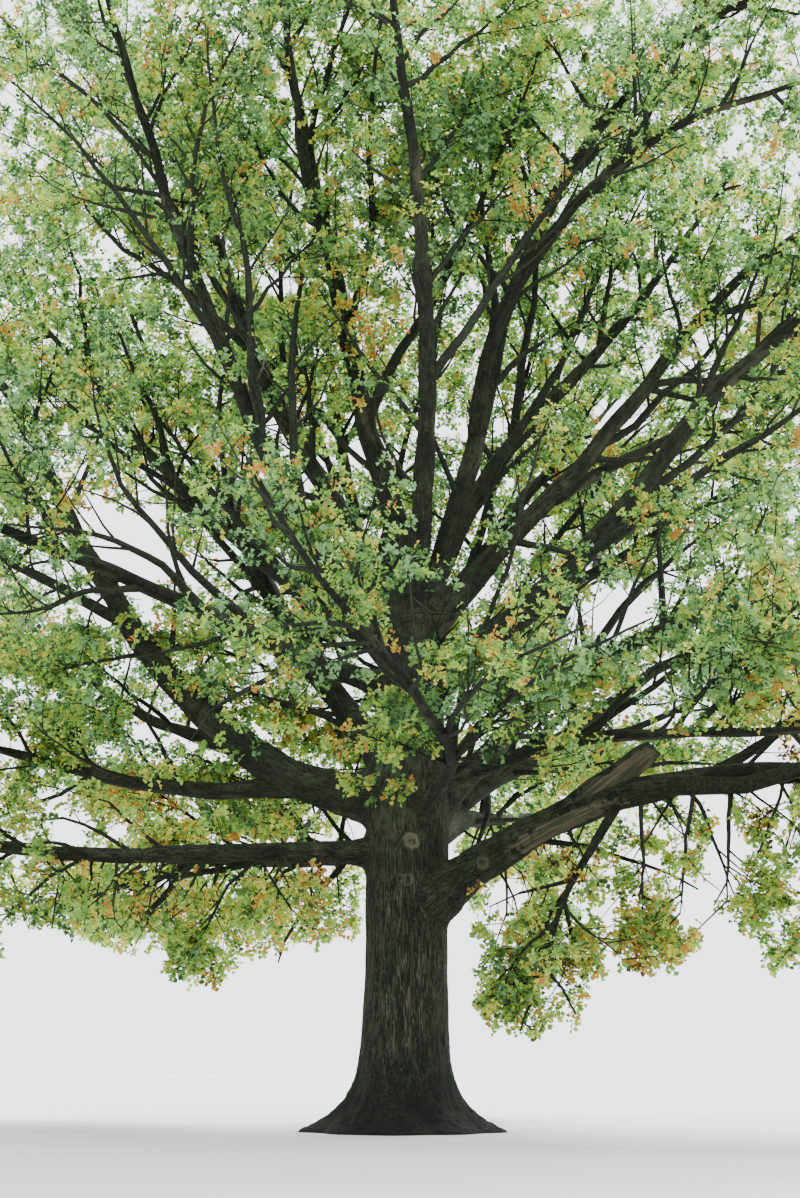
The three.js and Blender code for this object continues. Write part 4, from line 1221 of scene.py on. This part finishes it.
class Growth:
    """Collects the courses of branches and twigs and the places of leaves."""

    def __init__(self):
        self.wood = {"branches": ([], [], []), "twigs": ([], [], [])}
        self.leaves, self.shoots = {}, {}
        self.shown, self.thin = [], []

    def course(self, kind, points, girths):
        """A branch or twig, cut off where it would hang below the crown."""
        low = next((i for i, point in enumerate(points) if below_crown(point)), len(points))
        if low < 2:
            return
        points, girths = points[:low], girths[:low]
        spots, sizes, edges = self.wood[kind]
        first = len(spots)
        spots.extend(points)
        sizes.extend(girths)
        edges.extend((first + i, first + i + 1) for i in range(len(points) - 1))

    def leaf(self, kind, spots, along, face, size, tip, chance):
        """Some leaves of one tint on the shoot that ends at tip, and that shoot's chance to be thinned."""
        self.leaves.setdefault(kind, []).append((spots, along, face, size))
        self.shoots.setdefault(kind, []).append((tip, chance))

    def slight(self, points, girths, chance):
        """A thin twig that is thinned out together with its leaves."""
        self.thin.append((points, girths, chance))

    def show_wood(self):
        """Thins the leaves and thin twigs in front of the wood that the photo shows bare."""
        view = View()
        for limb in TREE.limbs:
            stop = 0.3 * limb.bare + 0.7
            usual = SHOWN.get(limb.name, SHOWN_USUAL)
            shares = np.linspace(0, stop, 40)
            for first, last in zip(shares, shares[1:]):
                view.show([limb.point(first), limb.point(last)], [limb.radius(first), limb.radius(last)],
                          usual * (1 - 0.6 * first / stop), limb.name in BEFORE_ALL)
        for points, girths, share in self.shown:
            view.show(points, girths, share)
        stub, ahead, _ = broken_course()
        view.show([stub, stub + ahead * BROKEN_LIMB[4] * 1.1], [BROKEN_LIMB[5]] * 2, 1.0, True)
        for kind, rows in self.leaves.items():
            tips, chances = (np.array(part) for part in zip(*self.shoots[kind]))
            stays = view.keeps(tips, chances)
            self.leaves[kind] = [row for row, stay in zip(rows, stays) if stay]
        ends = np.array([points[-1] for points, _, _ in self.thin])
        chances = np.array([row[2] for row in self.thin])
        for (points, girths, _), stay in zip(self.thin, view.keeps(ends, chances)):
            if stay:
                self.course("twigs", points, girths)


def tint_of(place, rng):
    """The leaf colour of one shoot, from where it grows in the crown."""
    for centre, radius, tint in TINT_SPOTS:
        if np.linalg.norm(place - np.array(centre)) < radius * (0.6 + 0.5 * rng.random()):
            return tint
    _, y, z = place
    part = "low" if z < LOW_END else "high" if z > HIGH_START else "middle"
    if y < FRONT_DEPTH and FRONT_LOWEST < z < FRONT_HIGHEST:
        part = "front"
    patch = noise.noise(Vector(place) * 0.7) + 0.35 * noise.noise(Vector(place) * 2.1)
    share = min(max(rng.random() * 0.6 + 0.2 + patch * 0.7, 0), 0.9999)
    total = 0
    for name, odds in zip(WARMTH, ODDS[part]):
        total += odds
        if share < total:
            return name
    return WARMTH[-1]


def unit_rows(rows):
    return rows / np.linalg.norm(rows, axis=1)[:, None]


def rosette(growth, kind, root, tip, count, chance, rng):
    """Leaves that spread from a shoot's end, and a few along it."""
    run = tip - root
    heading = run / max(np.linalg.norm(run), 1e-6)
    at_tip = rng.random(count) < TIP_LEAVES
    back = np.where(at_tip, rng.random(count) * TIP_REACH, rng.random(count) * SIDE_REACH)
    spots = tip - run * back[:, None] + rng.normal(0, 0.02, (count, 3))
    away = rng.normal(0, 1, (count, 3))
    away = unit_rows(away - heading * (away @ heading)[:, None])
    along = unit_rows(heading * (0.15 + 0.75 * rng.random(count))[:, None] + away - UP * 0.18)
    face = rng.normal(0, 0.55, (count, 3)) + UP * 0.8 + heading * 0.2
    face = unit_rows(face - along * (face * along).sum(1)[:, None])
    size = (0.74 + 0.46 * rng.random(count)) * (0.86 if tip[1] < -3 else 1)
    # The tint steps are partly real variety of colour and partly painted light and shade between leaves;
    # steps down to deep are painted shade.
    warmth = WARMTH.index(kind)
    step = rng.choice(TINT_STEPS, count, p=TINT_ODDS)
    shade = np.clip(warmth + step, 0, max(warmth, len(WARMTH) - 2))
    for number in np.unique(shade):
        chosen = shade == number
        growth.leaf(WARMTH[number], spots[chosen], along[chosen], face[chosen], size[chosen], tip, chance)


def aside(along, forward, rng, lift=0.0):
    """A seeded heading to one side of a course and forward along it."""
    return unit(perpendicular(rng.normal(0, 1, 3) + UP * lift, along) + along * forward)


def outside(place):
    """True too low, in open sky or past the crown's reach."""
    return place[2] < SPRAY["lowest"] or in_sky_gap(place) or not in_reach(place)


def shoot(growth, root, aim, reach, look, rng, girth=SHOOT_GIRTH, chance=None):
    """One thin leafy shoot, with its chance to be thinned in front of bare wood."""
    chance = rng.random() if chance is None else chance
    far = root + aim * reach
    if outside(far) or rng.random() > fullness(far):
        return
    growth.slight([root, far], [girth, SHOOT_END], chance)
    rosette(growth, tint_of(far, rng), root, far, look.each, chance, rng)


def spray(growth, blade, look, rng):
    """Side shoots off a spray's axis, within the outline that the source's blade gives it."""
    neck, end, tip, normal = blade["neck"], blade["end"], blade["tip"], blade["normal"]
    across = unit(np.cross(normal, tip))
    half = SPRAY["blade_half_width"] * blade["size"]
    plain = (neck + end) / 2
    middle = plain + normal * rng.normal(0, 0.07) + across * rng.normal(0, 0.06)
    growth.course("twigs", [neck, middle, end], AXIS_GIRTHS)
    for k in range(look.shoots):
        share = 0.04 + 0.92 * (k + 0.6 * rng.random()) / look.shoots
        inner = 2 * min(share, 1 - share)
        root = neck * (1 - share) + end * share + (middle - plain) * inner
        hand = 1 if k % 2 else -1
        aim = unit(tip * 0.5 + across * hand * (0.5 + 0.8 * rng.random()) + normal * rng.normal(0, 0.55))
        shoot(growth, root, aim, (half * inner * 1.05 + 0.08) * (0.45 + 0.6 * rng.random()), look, rng)
    shoot(growth, end - tip * 0.1, tip, 0.1, look, rng)


def fullness(place):
    """The share of shoots that grow: fewer in front of the fork, where the photo shows the bare fan."""
    x, y, z = place
    if inside(*seen_at(place), SCREENS):
        return 1
    return FAN_SHARE if inside(x, z, INNER_FAN) and -7.5 < y < -0.4 and not in_shelf(place) else 1


def in_shelf(place):
    return any(np.linalg.norm((place - centre) / SHELF_SPAN) < 1 for centre in SHELF_CENTRES)


def seen(places):
    """How far right and down the photo places lie, in its pixels, and how deep."""
    off = np.atleast_2d(places) - np.array(EYE)
    depth = off[:, 1] * math.cos(EYE_TILT) + off[:, 2] * math.sin(EYE_TILT)
    up = off[:, 2] * math.cos(EYE_TILT) - off[:, 1] * math.sin(EYE_TILT)
    return MIDDLE[0] + FOCAL * off[:, 0] / depth, MIDDLE[1] - FOCAL * up / depth, depth


def seen_at(place):
    """How far right and down the photo one place lies, in its pixels."""
    x, y, z = float(place[0]) - EYE[0], float(place[1]) - EYE[1], float(place[2]) - EYE[2]
    depth = y * math.cos(EYE_TILT) + z * math.sin(EYE_TILT)
    up = z * math.cos(EYE_TILT) - y * math.sin(EYE_TILT)
    return MIDDLE[0] + FOCAL * x / depth, MIDDLE[1] - FOCAL * up / depth


def inside(right, down, ellipses):
    return any(((right - cx) / rx) ** 2 + ((down - cy) / ry) ** 2 < 1 for cx, cy, rx, ry in ellipses)


def in_sky_gap(place):
    """True where the photo shows open sky through the crown or below its lower edge."""
    return inside(*seen_at(place), SKY_GAPS) or below_crown(place)


def below_crown(place):
    """True where the photo shows the crown's lower edge above this place."""
    right, down = seen_at(place)
    if down < EDGE_TOP or not 0 <= right <= 2 * MIDDLE[0]:
        return False
    return down > np.interp(right, *zip(*LOWER_EDGE))


def in_reach(place):
    """True inside the solid frame's box, widened by the reach of one shoot."""
    low, high = CAD_BOX
    return bool(np.all(place > np.array(low) - BOX_MARGIN) and np.all(place < np.array(high) + BOX_MARGIN))


class View:
    """Where the photo shows wood in front of the leaves, in square cells of its pixels."""

    def __init__(self):
        self.depth = np.zeros((MIDDLE[1] * 2 // CELL + 1, MIDDLE[0] * 2 // CELL + 1))
        self.share = np.zeros_like(self.depth)
        self.open = np.zeros_like(self.depth)
        rows, columns = np.indices(self.depth.shape) * CELL
        for (cx, cy, rx, ry), share in AIRY:
            self.open[((columns - cx) / rx) ** 2 + ((rows - cy) / ry) ** 2 < 1] = share

    def show(self, points, girths, share, first=False):
        """Marks a course of wood that shows, and the share of the leaves before it that goes."""
        for (a, b), (thick, thin) in zip(zip(points, points[1:]), zip(girths, girths[1:])):
            count = max(int(np.linalg.norm(b - a) / SHOWN_STEP), 1)
            part = (np.arange(count) / count)[:, None]
            right, down, depth = seen(a * (1 - part) + b * part)
            wide = (thick * (1 - part[:, 0]) + thin * part[:, 0] + SHOWN_MARGIN) * FOCAL / depth
            for x, y, far, reach in zip(right, down, depth, wide):
                within = 0 <= x < 2 * MIDDLE[0] and 0 <= y < 2 * MIDDLE[1]
                if not within or inside(x, y, SCREENS) and not first:
                    continue
                rows = slice(max(int((y - reach) / CELL), 0), int((y + reach) / CELL) + 1)
                columns = slice(max(int((x - reach) / CELL), 0), int((x + reach) / CELL) + 1)
                self.depth[rows, columns] = np.maximum(self.depth[rows, columns], far)
                self.share[rows, columns] = np.maximum(self.share[rows, columns], share)

    def keeps(self, places, chance):
        """Which leaves stay, with a chance from 0 to 1 for each."""
        right, down, depth = seen(places)
        row, column = (down / CELL).astype(int), (right / CELL).astype(int)
        within = (row >= 0) & (row < self.depth.shape[0]) & (column >= 0) & (column < self.depth.shape[1])
        row, column = np.where(within, row, 0), np.where(within, column, 0)
        before = within & (depth < self.depth[row, column])
        return ~(before & (chance < self.share[row, column]) | within & (chance < self.open[row, column]))


def wander(start, heading, length, steps, rise, kink, rng):
    """A crooked course that slowly turns up, or down with a negative rise."""
    points = [start]
    for _ in range(steps):
        heading = unit(heading + UP * rise / steps + rng.normal(0, kink, 3))
        points.append(points[-1] + heading * length / steps)
    return points


def branch_clear(points, girth, limb):
    """True if a branch stays off every limb but the one it grows from."""
    others = TREE.owner != limb.index
    for k, (a, b) in enumerate(zip(points, points[1:])):
        gaps = segment_distances(a, b, TREE.starts, TREE.ends) - TREE.radii
        low = b[2] < SPRAY["lowest"] + CLEAR["lowest"]
        if gaps[others].min() < girth + CLEAR["others"] or low or not in_reach(b):
            return False
        if k > 1 and gaps[~others].min() < girth + CLEAR["own"]:
            return False
    return TREE.shaft_gap(points[-2], points[-1]) > CLEAR["shaft"]


def lushness(place):
    """How many more twigs than usual grow here: more up in the crown, most in its middle."""
    if place[2] < LUSH_HEIGHT:
        return 1.0
    return LUSH_MIDDLE if abs(place[0]) < LUSH_REACH else LUSH_SIDES


def leaf_out(growth, points, first, look, rng):
    """Leafy twigs along a course from its step number first, and one at its end."""
    for a, b in zip(points[first - 1:], points[first:]):
        run = b - a
        along = unit(run)
        for _ in range(max(round(np.linalg.norm(run) / look.twig_gap * lushness(a)), 1)):
            aim = aside(along, 0.8, rng, 0.25)
            leafy_twig(growth, a + run * rng.random(), aim, 0.28 + 0.4 * rng.random(), look, rng)
    shoot(growth, points[-1] - along * 0.05, along, 0.08, look, rng)


def leafy_branch(growth, points, girths, share, first, look, rng):
    """A branch, the share of leaves before it that goes, and leafy twigs from its step number first."""
    growth.course("branches", points, girths)
    growth.shown.append((points, girths, share))
    leaf_out(growth, points, first, look, rng)


def taper(base, steps, power, least):
    """The girths of a branch from its root to its end."""
    return [base * (1 - i / steps) ** power + least for i in range(steps + 1)]


def branch_off(limb, s, length, base, lift, kind, rng):
    """The first of a few tries at a side branch that stays off the other limbs, or None."""
    low, high = kind["spread"]
    for attempt in range(6):
        around = math.radians(SPRAY["step_around"] * (s * 20 + 0.37 * attempt) + 60 * rng.random())
        heading = limb.branching(s, around, math.radians(low + (high - low) * rng.random()))
        points = wander(limb.point(s), heading, length, kind["steps"], lift, kind["kink"], rng)
        if branch_clear(points, base, limb):
            return points
    return None


def room_for(growth, points):
    """The growth that a branch joins: one not kept where it would cross open sky or the broken limb."""
    for point in points[2:]:
        right, down = seen_at(point)
        if inside(right, down, OPEN_SKY) or (point[1] < BROKEN_FRONT and inside(right, down, BROKEN_VIEW)):
            return Growth()
    return growth


def grow_forks(growth, limb, look, rng):
    """Strong forks that run on beside their limb, with crooked branches of their own."""
    for s in FORK_SHARES:
        if s * limb.length < FORK_ROOT or limb.length < FORK_LIMB or limb.name in FORKLESS:
            continue
        steps = FORK["steps"]
        base = FORK["girth"] * limb.radius(s)
        length = (1 - s) * limb.length * (0.6 + 0.22 * rng.random())
        points = branch_off(limb, s, length, base, 0.28 - 0.7 * limb.hang, FORK, rng)
        if points is None:
            continue
        girths = taper(base, steps, 0.85, 0.01)
        leafy_branch(growth, points, girths, 0.6, 6, look, rng)
        for i in range(3, steps):
            aim = aside(unit(points[i + 1] - points[i]), 1.1, rng, 0.3)
            side = wander(points[i], aim, 0.8 + 0.9 * rng.random(), 4, 0.3 - limb.hang, 0.14, rng)
            thick = min(girths[i] * 0.5, 0.03)
            thins = [thick, thick * 0.8, thick * 0.6, thick * 0.45, 0.007]
            leafy_branch(room_for(growth, side), side, thins, 0.2, 3, look, rng)


def grow_branches(growth, limb, look, rng):
    """Crooked side branches along a limb, with leafy twigs of their own."""
    reach = limb.length
    first = max(BRANCHES_FROM / reach, BRANCHES_FIRST)
    count = max(int((BRANCHES_LAST - first) * reach / look.branch_gap), 3)
    for k in range(count):
        s = first + (BRANCHES_LAST - first) * (k + 0.2 + 0.6 * rng.random()) / count
        base = min(BRANCH["girth"] * limb.radius(s), 0.062) * (0.7 + 0.4 * rng.random())
        length = min((3.1 - 1.8 * s) * (0.65 + 0.5 * rng.random()), 0.4 * reach)
        points = branch_off(limb, s, length, base, 0.45 - 1.1 * limb.hang, BRANCH, rng)
        if points is None:
            continue
        girths = taper(base, BRANCH["steps"], 1, 0.007)
        leafy_branch(room_for(growth, points), points, girths, 0.3, 3, look, rng)


def grow_curtain(growth, limb, look, rng):
    """Crooked leafy branches that hang from a low limb."""
    count = int(limb.length * CURTAIN_SPAN / look.curtain_gap)
    for k in range(count):
        s = CURTAIN_START + CURTAIN_SPAN * (k + rng.random()) / count
        lean = perpendicular(rng.normal(0, 1, 3), UP) * (0.5 + 0.4 * rng.random())
        length = 0.8 + 1.1 * rng.random()
        points = wander(limb.point(s), unit(lean - UP * 0.8), length, 5, -0.3, 0.16, rng)
        if points[-1][2] < SPRAY["lowest"] or not branch_clear(points[1:], 0.02, limb):
            continue
        if in_sky_gap(points[-1]) or in_sky_gap(points[-2]):
            continue
        leafy_branch(growth, points, CURTAIN_GIRTHS, 0.2, 2, look, rng)


def grow_shelf(growth, host, row, look, rng):
    """One small limb that the photo shows, with a flat shelf of sprays or hanging ones at its end."""
    s, bearing, rise, bend, length, base, sprays, size = row
    steps = SHELF["steps"]
    points = [TREE.named[host].point(s)]
    for i in range(steps):
        level = math.radians(rise + bend * i / steps) + rng.normal(0, SHELF["wobble"])
        turn = math.radians(bearing) + rng.normal(0, SHELF["wobble"])
        points.append(points[-1] + heading_of(turn, level) * length / steps)
    leafy_branch(growth, points, taper(base, steps, 0.8, 0.008), 0.8, 4, look, rng)
    ahead = unit(points[-1] - points[-2])
    level = unit(np.array([ahead[0], ahead[1], 0]) + 1e-6)
    across = np.cross(UP, level)
    for k in range(sprays):
        hand = (k / max(sprays - 1, 1) - 0.5) * SHELF["fan"]
        neck = points[steps - (k % 4)]
        lift = SHELF["rise"] if rise > -20 else SHELF["hang"]
        tip = unit(level * math.cos(hand) + across * math.sin(hand) + UP * lift)
        reach = SPRAY["blade_length"] * size * (0.8 + 0.3 * rng.random())
        normal = perpendicular(UP + rng.normal(0, 0.2, 3), tip)
        blade = {"neck": neck, "end": neck + tip * reach, "tip": tip, "normal": normal, "size": size}
        spray(growth, blade, look, rng)


def leafy_twig(growth, root, aim, length, look, rng):
    """A thin twig with a few leafy shoots."""
    points = wander(root, aim, length, 2, 0.1, 0.12, rng)
    if outside(points[-1]):
        return
    chance = rng.random()
    growth.slight(points, TWIG_GIRTHS, chance)
    for share in TWIG_SHOOTS:
        place = points[1] * 2 * (1 - share) + points[2] * (2 * share - 1) if share > 0.5 else points[1]
        turn = aside(aim, 0.7, rng)
        shoot(growth, place, turn if share < 1 else aim, 0.1 + 0.1 * rng.random(), look, rng, 0.005, chance)


def grow_foliage(look):
    """Branches, twigs and leaves of every mass, carried on from the source's twigs and blades."""
    rng = np.random.default_rng(FOLIAGE_SEED)
    growth = Growth()
    for limb, (twigs, blades) in zip(TREE.limbs, MASSES):
        for twig in twigs:
            bow = perpendicular(rng.normal(0, 1, 3), twig["heading"]) * 0.08
            middle = (twig["root"] + twig["neck"]) / 2 + bow
            growth.course("branches", [twig["root"], middle, twig["neck"]], STEM_GIRTHS)
            for share in STEM_TWIGS:
                root = twig["root"] + (twig["neck"] - twig["root"]) * share + bow * (1 - abs(2 * share - 1))
                aim = aside(twig["heading"], 0.6, rng)
                leafy_twig(growth, root, aim, 0.3 + 0.3 * rng.random(), look, rng)
        for blade in twigs + blades:
            spray(growth, blade, look, rng)
        grow_forks(growth, limb, look, rng)
        grow_branches(growth, limb, look, rng)
        if limb.hang >= CURTAIN_HANG:
            grow_curtain(growth, limb, look, rng)
        stretch = (1 - limb.bare) * limb.length
        for k in range(int(stretch / 0.4)):
            s = min(limb.bare + (1 - limb.bare) * (k + rng.random()) / (stretch / 0.4), 1)
            aim = aside(limb.direction(s), 0.5, rng)
            leafy_twig(growth, limb.point(s), aim, 0.3 + 0.35 * rng.random(), look, rng)
        shoot(growth, limb.points[-1], limb.direction(1), 0.08, look, rng)
    for host, *rows in SHELVES:
        for row in rows:
            grow_shelf(growth, host, row, look, rng)
    growth.show_wood()
    return growth


class OAK_OT_foliage(bpy.types.Operator):
    """Grow the twigs and the leafy sprays that carry the limbs on to the crown's edge"""

    bl_idname = "oak.foliage"
    bl_label = "Twigs and Leaves"

    def execute(self, context):
        look = context.scene.oak_leaves
        growth = grow_foliage(look)
        masses = [f"foliage_{limb.name}" for limb in TREE.limbs]
        group = twig_tree()
        skin = twig_bark(context.scene.oak_wood)
        for kind, sides in (("branches", 6), ("twigs", 3)):
            spots, girths, edges = growth.wood[kind]
            cuts = split_courses(edges, len(spots), WOOD_POINTS[kind])
            for number, (first, last, run) in enumerate(cuts):
                piece = object_from(f"wood_{kind}_{number + 1}", spots[first:last], edges=run,
                                    attributes={"girth": ("FLOAT", girths[first:last])})
                run_nodes(piece, group, {"Sides": sides, "Bark": skin})
                piece.data.shade_smooth()
                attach(piece, BODY)
                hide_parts(*masses)
        self.leaves(growth, look)
        return {"FINISHED"}

    def leaves(self, growth, look):
        leaf = leaf_shape(look)
        group = leaf_tree()
        for kind, rows in growth.leaves.items():
            spots, along, face, size = (np.concatenate(part) for part in zip(*rows))
            tint = leaf_material(f"oak_leaf_{kind}", tuple(getattr(look, kind)), look.glow)
            for number, first in enumerate(range(0, len(spots), LEAVES_A_PIECE)):
                part = slice(first, first + LEAVES_A_PIECE)
                piece = object_from(f"leaves_{kind}_{number + 1}", spots[part], attributes={
                    "along": ("FLOAT_VECTOR", along[part]), "face": ("FLOAT_VECTOR", face[part]),
                    "size": ("FLOAT", size[part])})
                run_nodes(piece, group, {"Leaf": leaf, "Tint": tint})
                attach(piece, BODY)
        bpy.data.objects.remove(leaf)


def split_courses(edges, count, most):
    """Cuts a run of courses into parts, with each part's points and renumbered edges."""
    ends = [0]
    before = -1
    for a, b in edges:
        if a - ends[-1] >= most and a != before:
            ends.append(a)
        before = b
    ends.append(count)
    parts = []
    for first, last in zip(ends, ends[1:]):
        parts.append((first, last, [(a - first, b - first) for a, b in edges if first <= a < last]))
    return parts


def leaf_shape(look):
    """One oak leaf: two pointed lobes on each side of its midrib, in four faces."""
    half, full, rise = look.width / 2, look.length, look.fold
    rib = [(0, 0, 0), (0, 0.5 * full, 0), (0, full, -rise * 0.6)]
    right = [(0.82 * half, 0.42 * full, rise), (half, 0.82 * full, rise)]
    left = [(-0.88 * half, 0.36 * full, rise), (-0.94 * half, 0.76 * full, rise)]
    faces = [(0, 3, 1), (1, 4, 2), (0, 1, 5), (1, 2, 6)]
    leaf = object_from("leaf_shape", rib + right + left, faces)
    leaf.hide_render = True
    return leaf


class OAK_OT_stage(bpy.types.Operator):
    """Set the pale floor, the soft light and the camera"""

    bl_idname = "oak.stage"
    bl_label = "Stage"

    def execute(self, context):
        stage = context.scene.oak_stage
        half = stage.floor / 2
        corners = [(-half, -half, 0), (half, -half, 0), (half, half, 0), (-half, half, 0)]
        floor = object_from("studio_floor", corners, [(0, 1, 2, 3)])
        material, nodes = fresh_material("studio_pale")
        nodes.finish(nodes.coat(FLOOR_COLOUR, 0.9, 0.5))
        floor.data.materials.append(material)
        self.light(context, stage)
        camera = bpy.data.objects.new("camera", bpy.data.cameras.new("camera"))
        context.collection.objects.link(camera)
        camera.data.sensor_fit = "VERTICAL"
        camera.data.sensor_height = FRAME_HEIGHT
        camera.data.lens = stage.lens
        camera.data.clip_end = VIEW_END
        camera.location = (EYE[0], -stage.distance, stage.height)
        camera.rotation_euler = (math.pi / 2 + stage.tilt, 0, 0)
        context.scene.camera = camera
        return {"FINISHED"}

    def light(self, context, stage):
        world = bpy.data.worlds.new("studio_world")
        world.use_nodes = True
        context.scene.world = world
        background = world.node_tree.nodes["Background"]
        background.inputs["Color"].default_value = SKY_COLOUR
        background.inputs["Strength"].default_value = stage.sky
        lamp = bpy.data.lights.new("soft_key", "SUN")
        lamp.energy = stage.sun
        lamp.angle = math.radians(KEY_SPREAD)
        lamp.color = KEY_COLOUR
        key = bpy.data.objects.new("soft_key", lamp)
        key.rotation_euler = [math.radians(angle) for angle in KEY_TURN]
        context.collection.objects.link(key)


class OAK_PT_panel(bpy.types.Panel):
    """Grow the oak and set its sizes and colours"""

    bl_label = "Oak"
    bl_space_type = "VIEW_3D"
    bl_region_type = "UI"
    bl_category = "Oak"

    def draw(self, context):
        for operator in OPERATORS:
            self.layout.operator(operator.bl_idname)
        for name in ("oak_wood", "oak_leaves", "oak_stage"):
            box = self.layout.box()
            group = getattr(context.scene, name)
            for key in group.__annotations__:
                box.prop(group, key)


OPERATORS = (OAK_OT_trunk, OAK_OT_boughs, OAK_OT_foliage, OAK_OT_stage)
GROUPS = {"oak_wood": OakWood, "oak_leaves": OakLeaves, "oak_stage": OakStage}


def register():
    for cls in (*GROUPS.values(), *OPERATORS, OAK_PT_panel):
        bpy.utils.register_class(cls)
    for name, group in GROUPS.items():
        setattr(bpy.types.Scene, name, bpy.props.PointerProperty(type=group))


def unregister():
    for name in GROUPS:
        delattr(bpy.types.Scene, name)
    for cls in reversed((*GROUPS.values(), *OPERATORS, OAK_PT_panel)):
        bpy.utils.unregister_class(cls)


def main():
    register()
    bpy.ops.oak.trunk()
    bpy.ops.oak.boughs()
    bpy.ops.oak.foliage()
    bpy.ops.oak.stage()


if __name__ == "__main__":
    main()
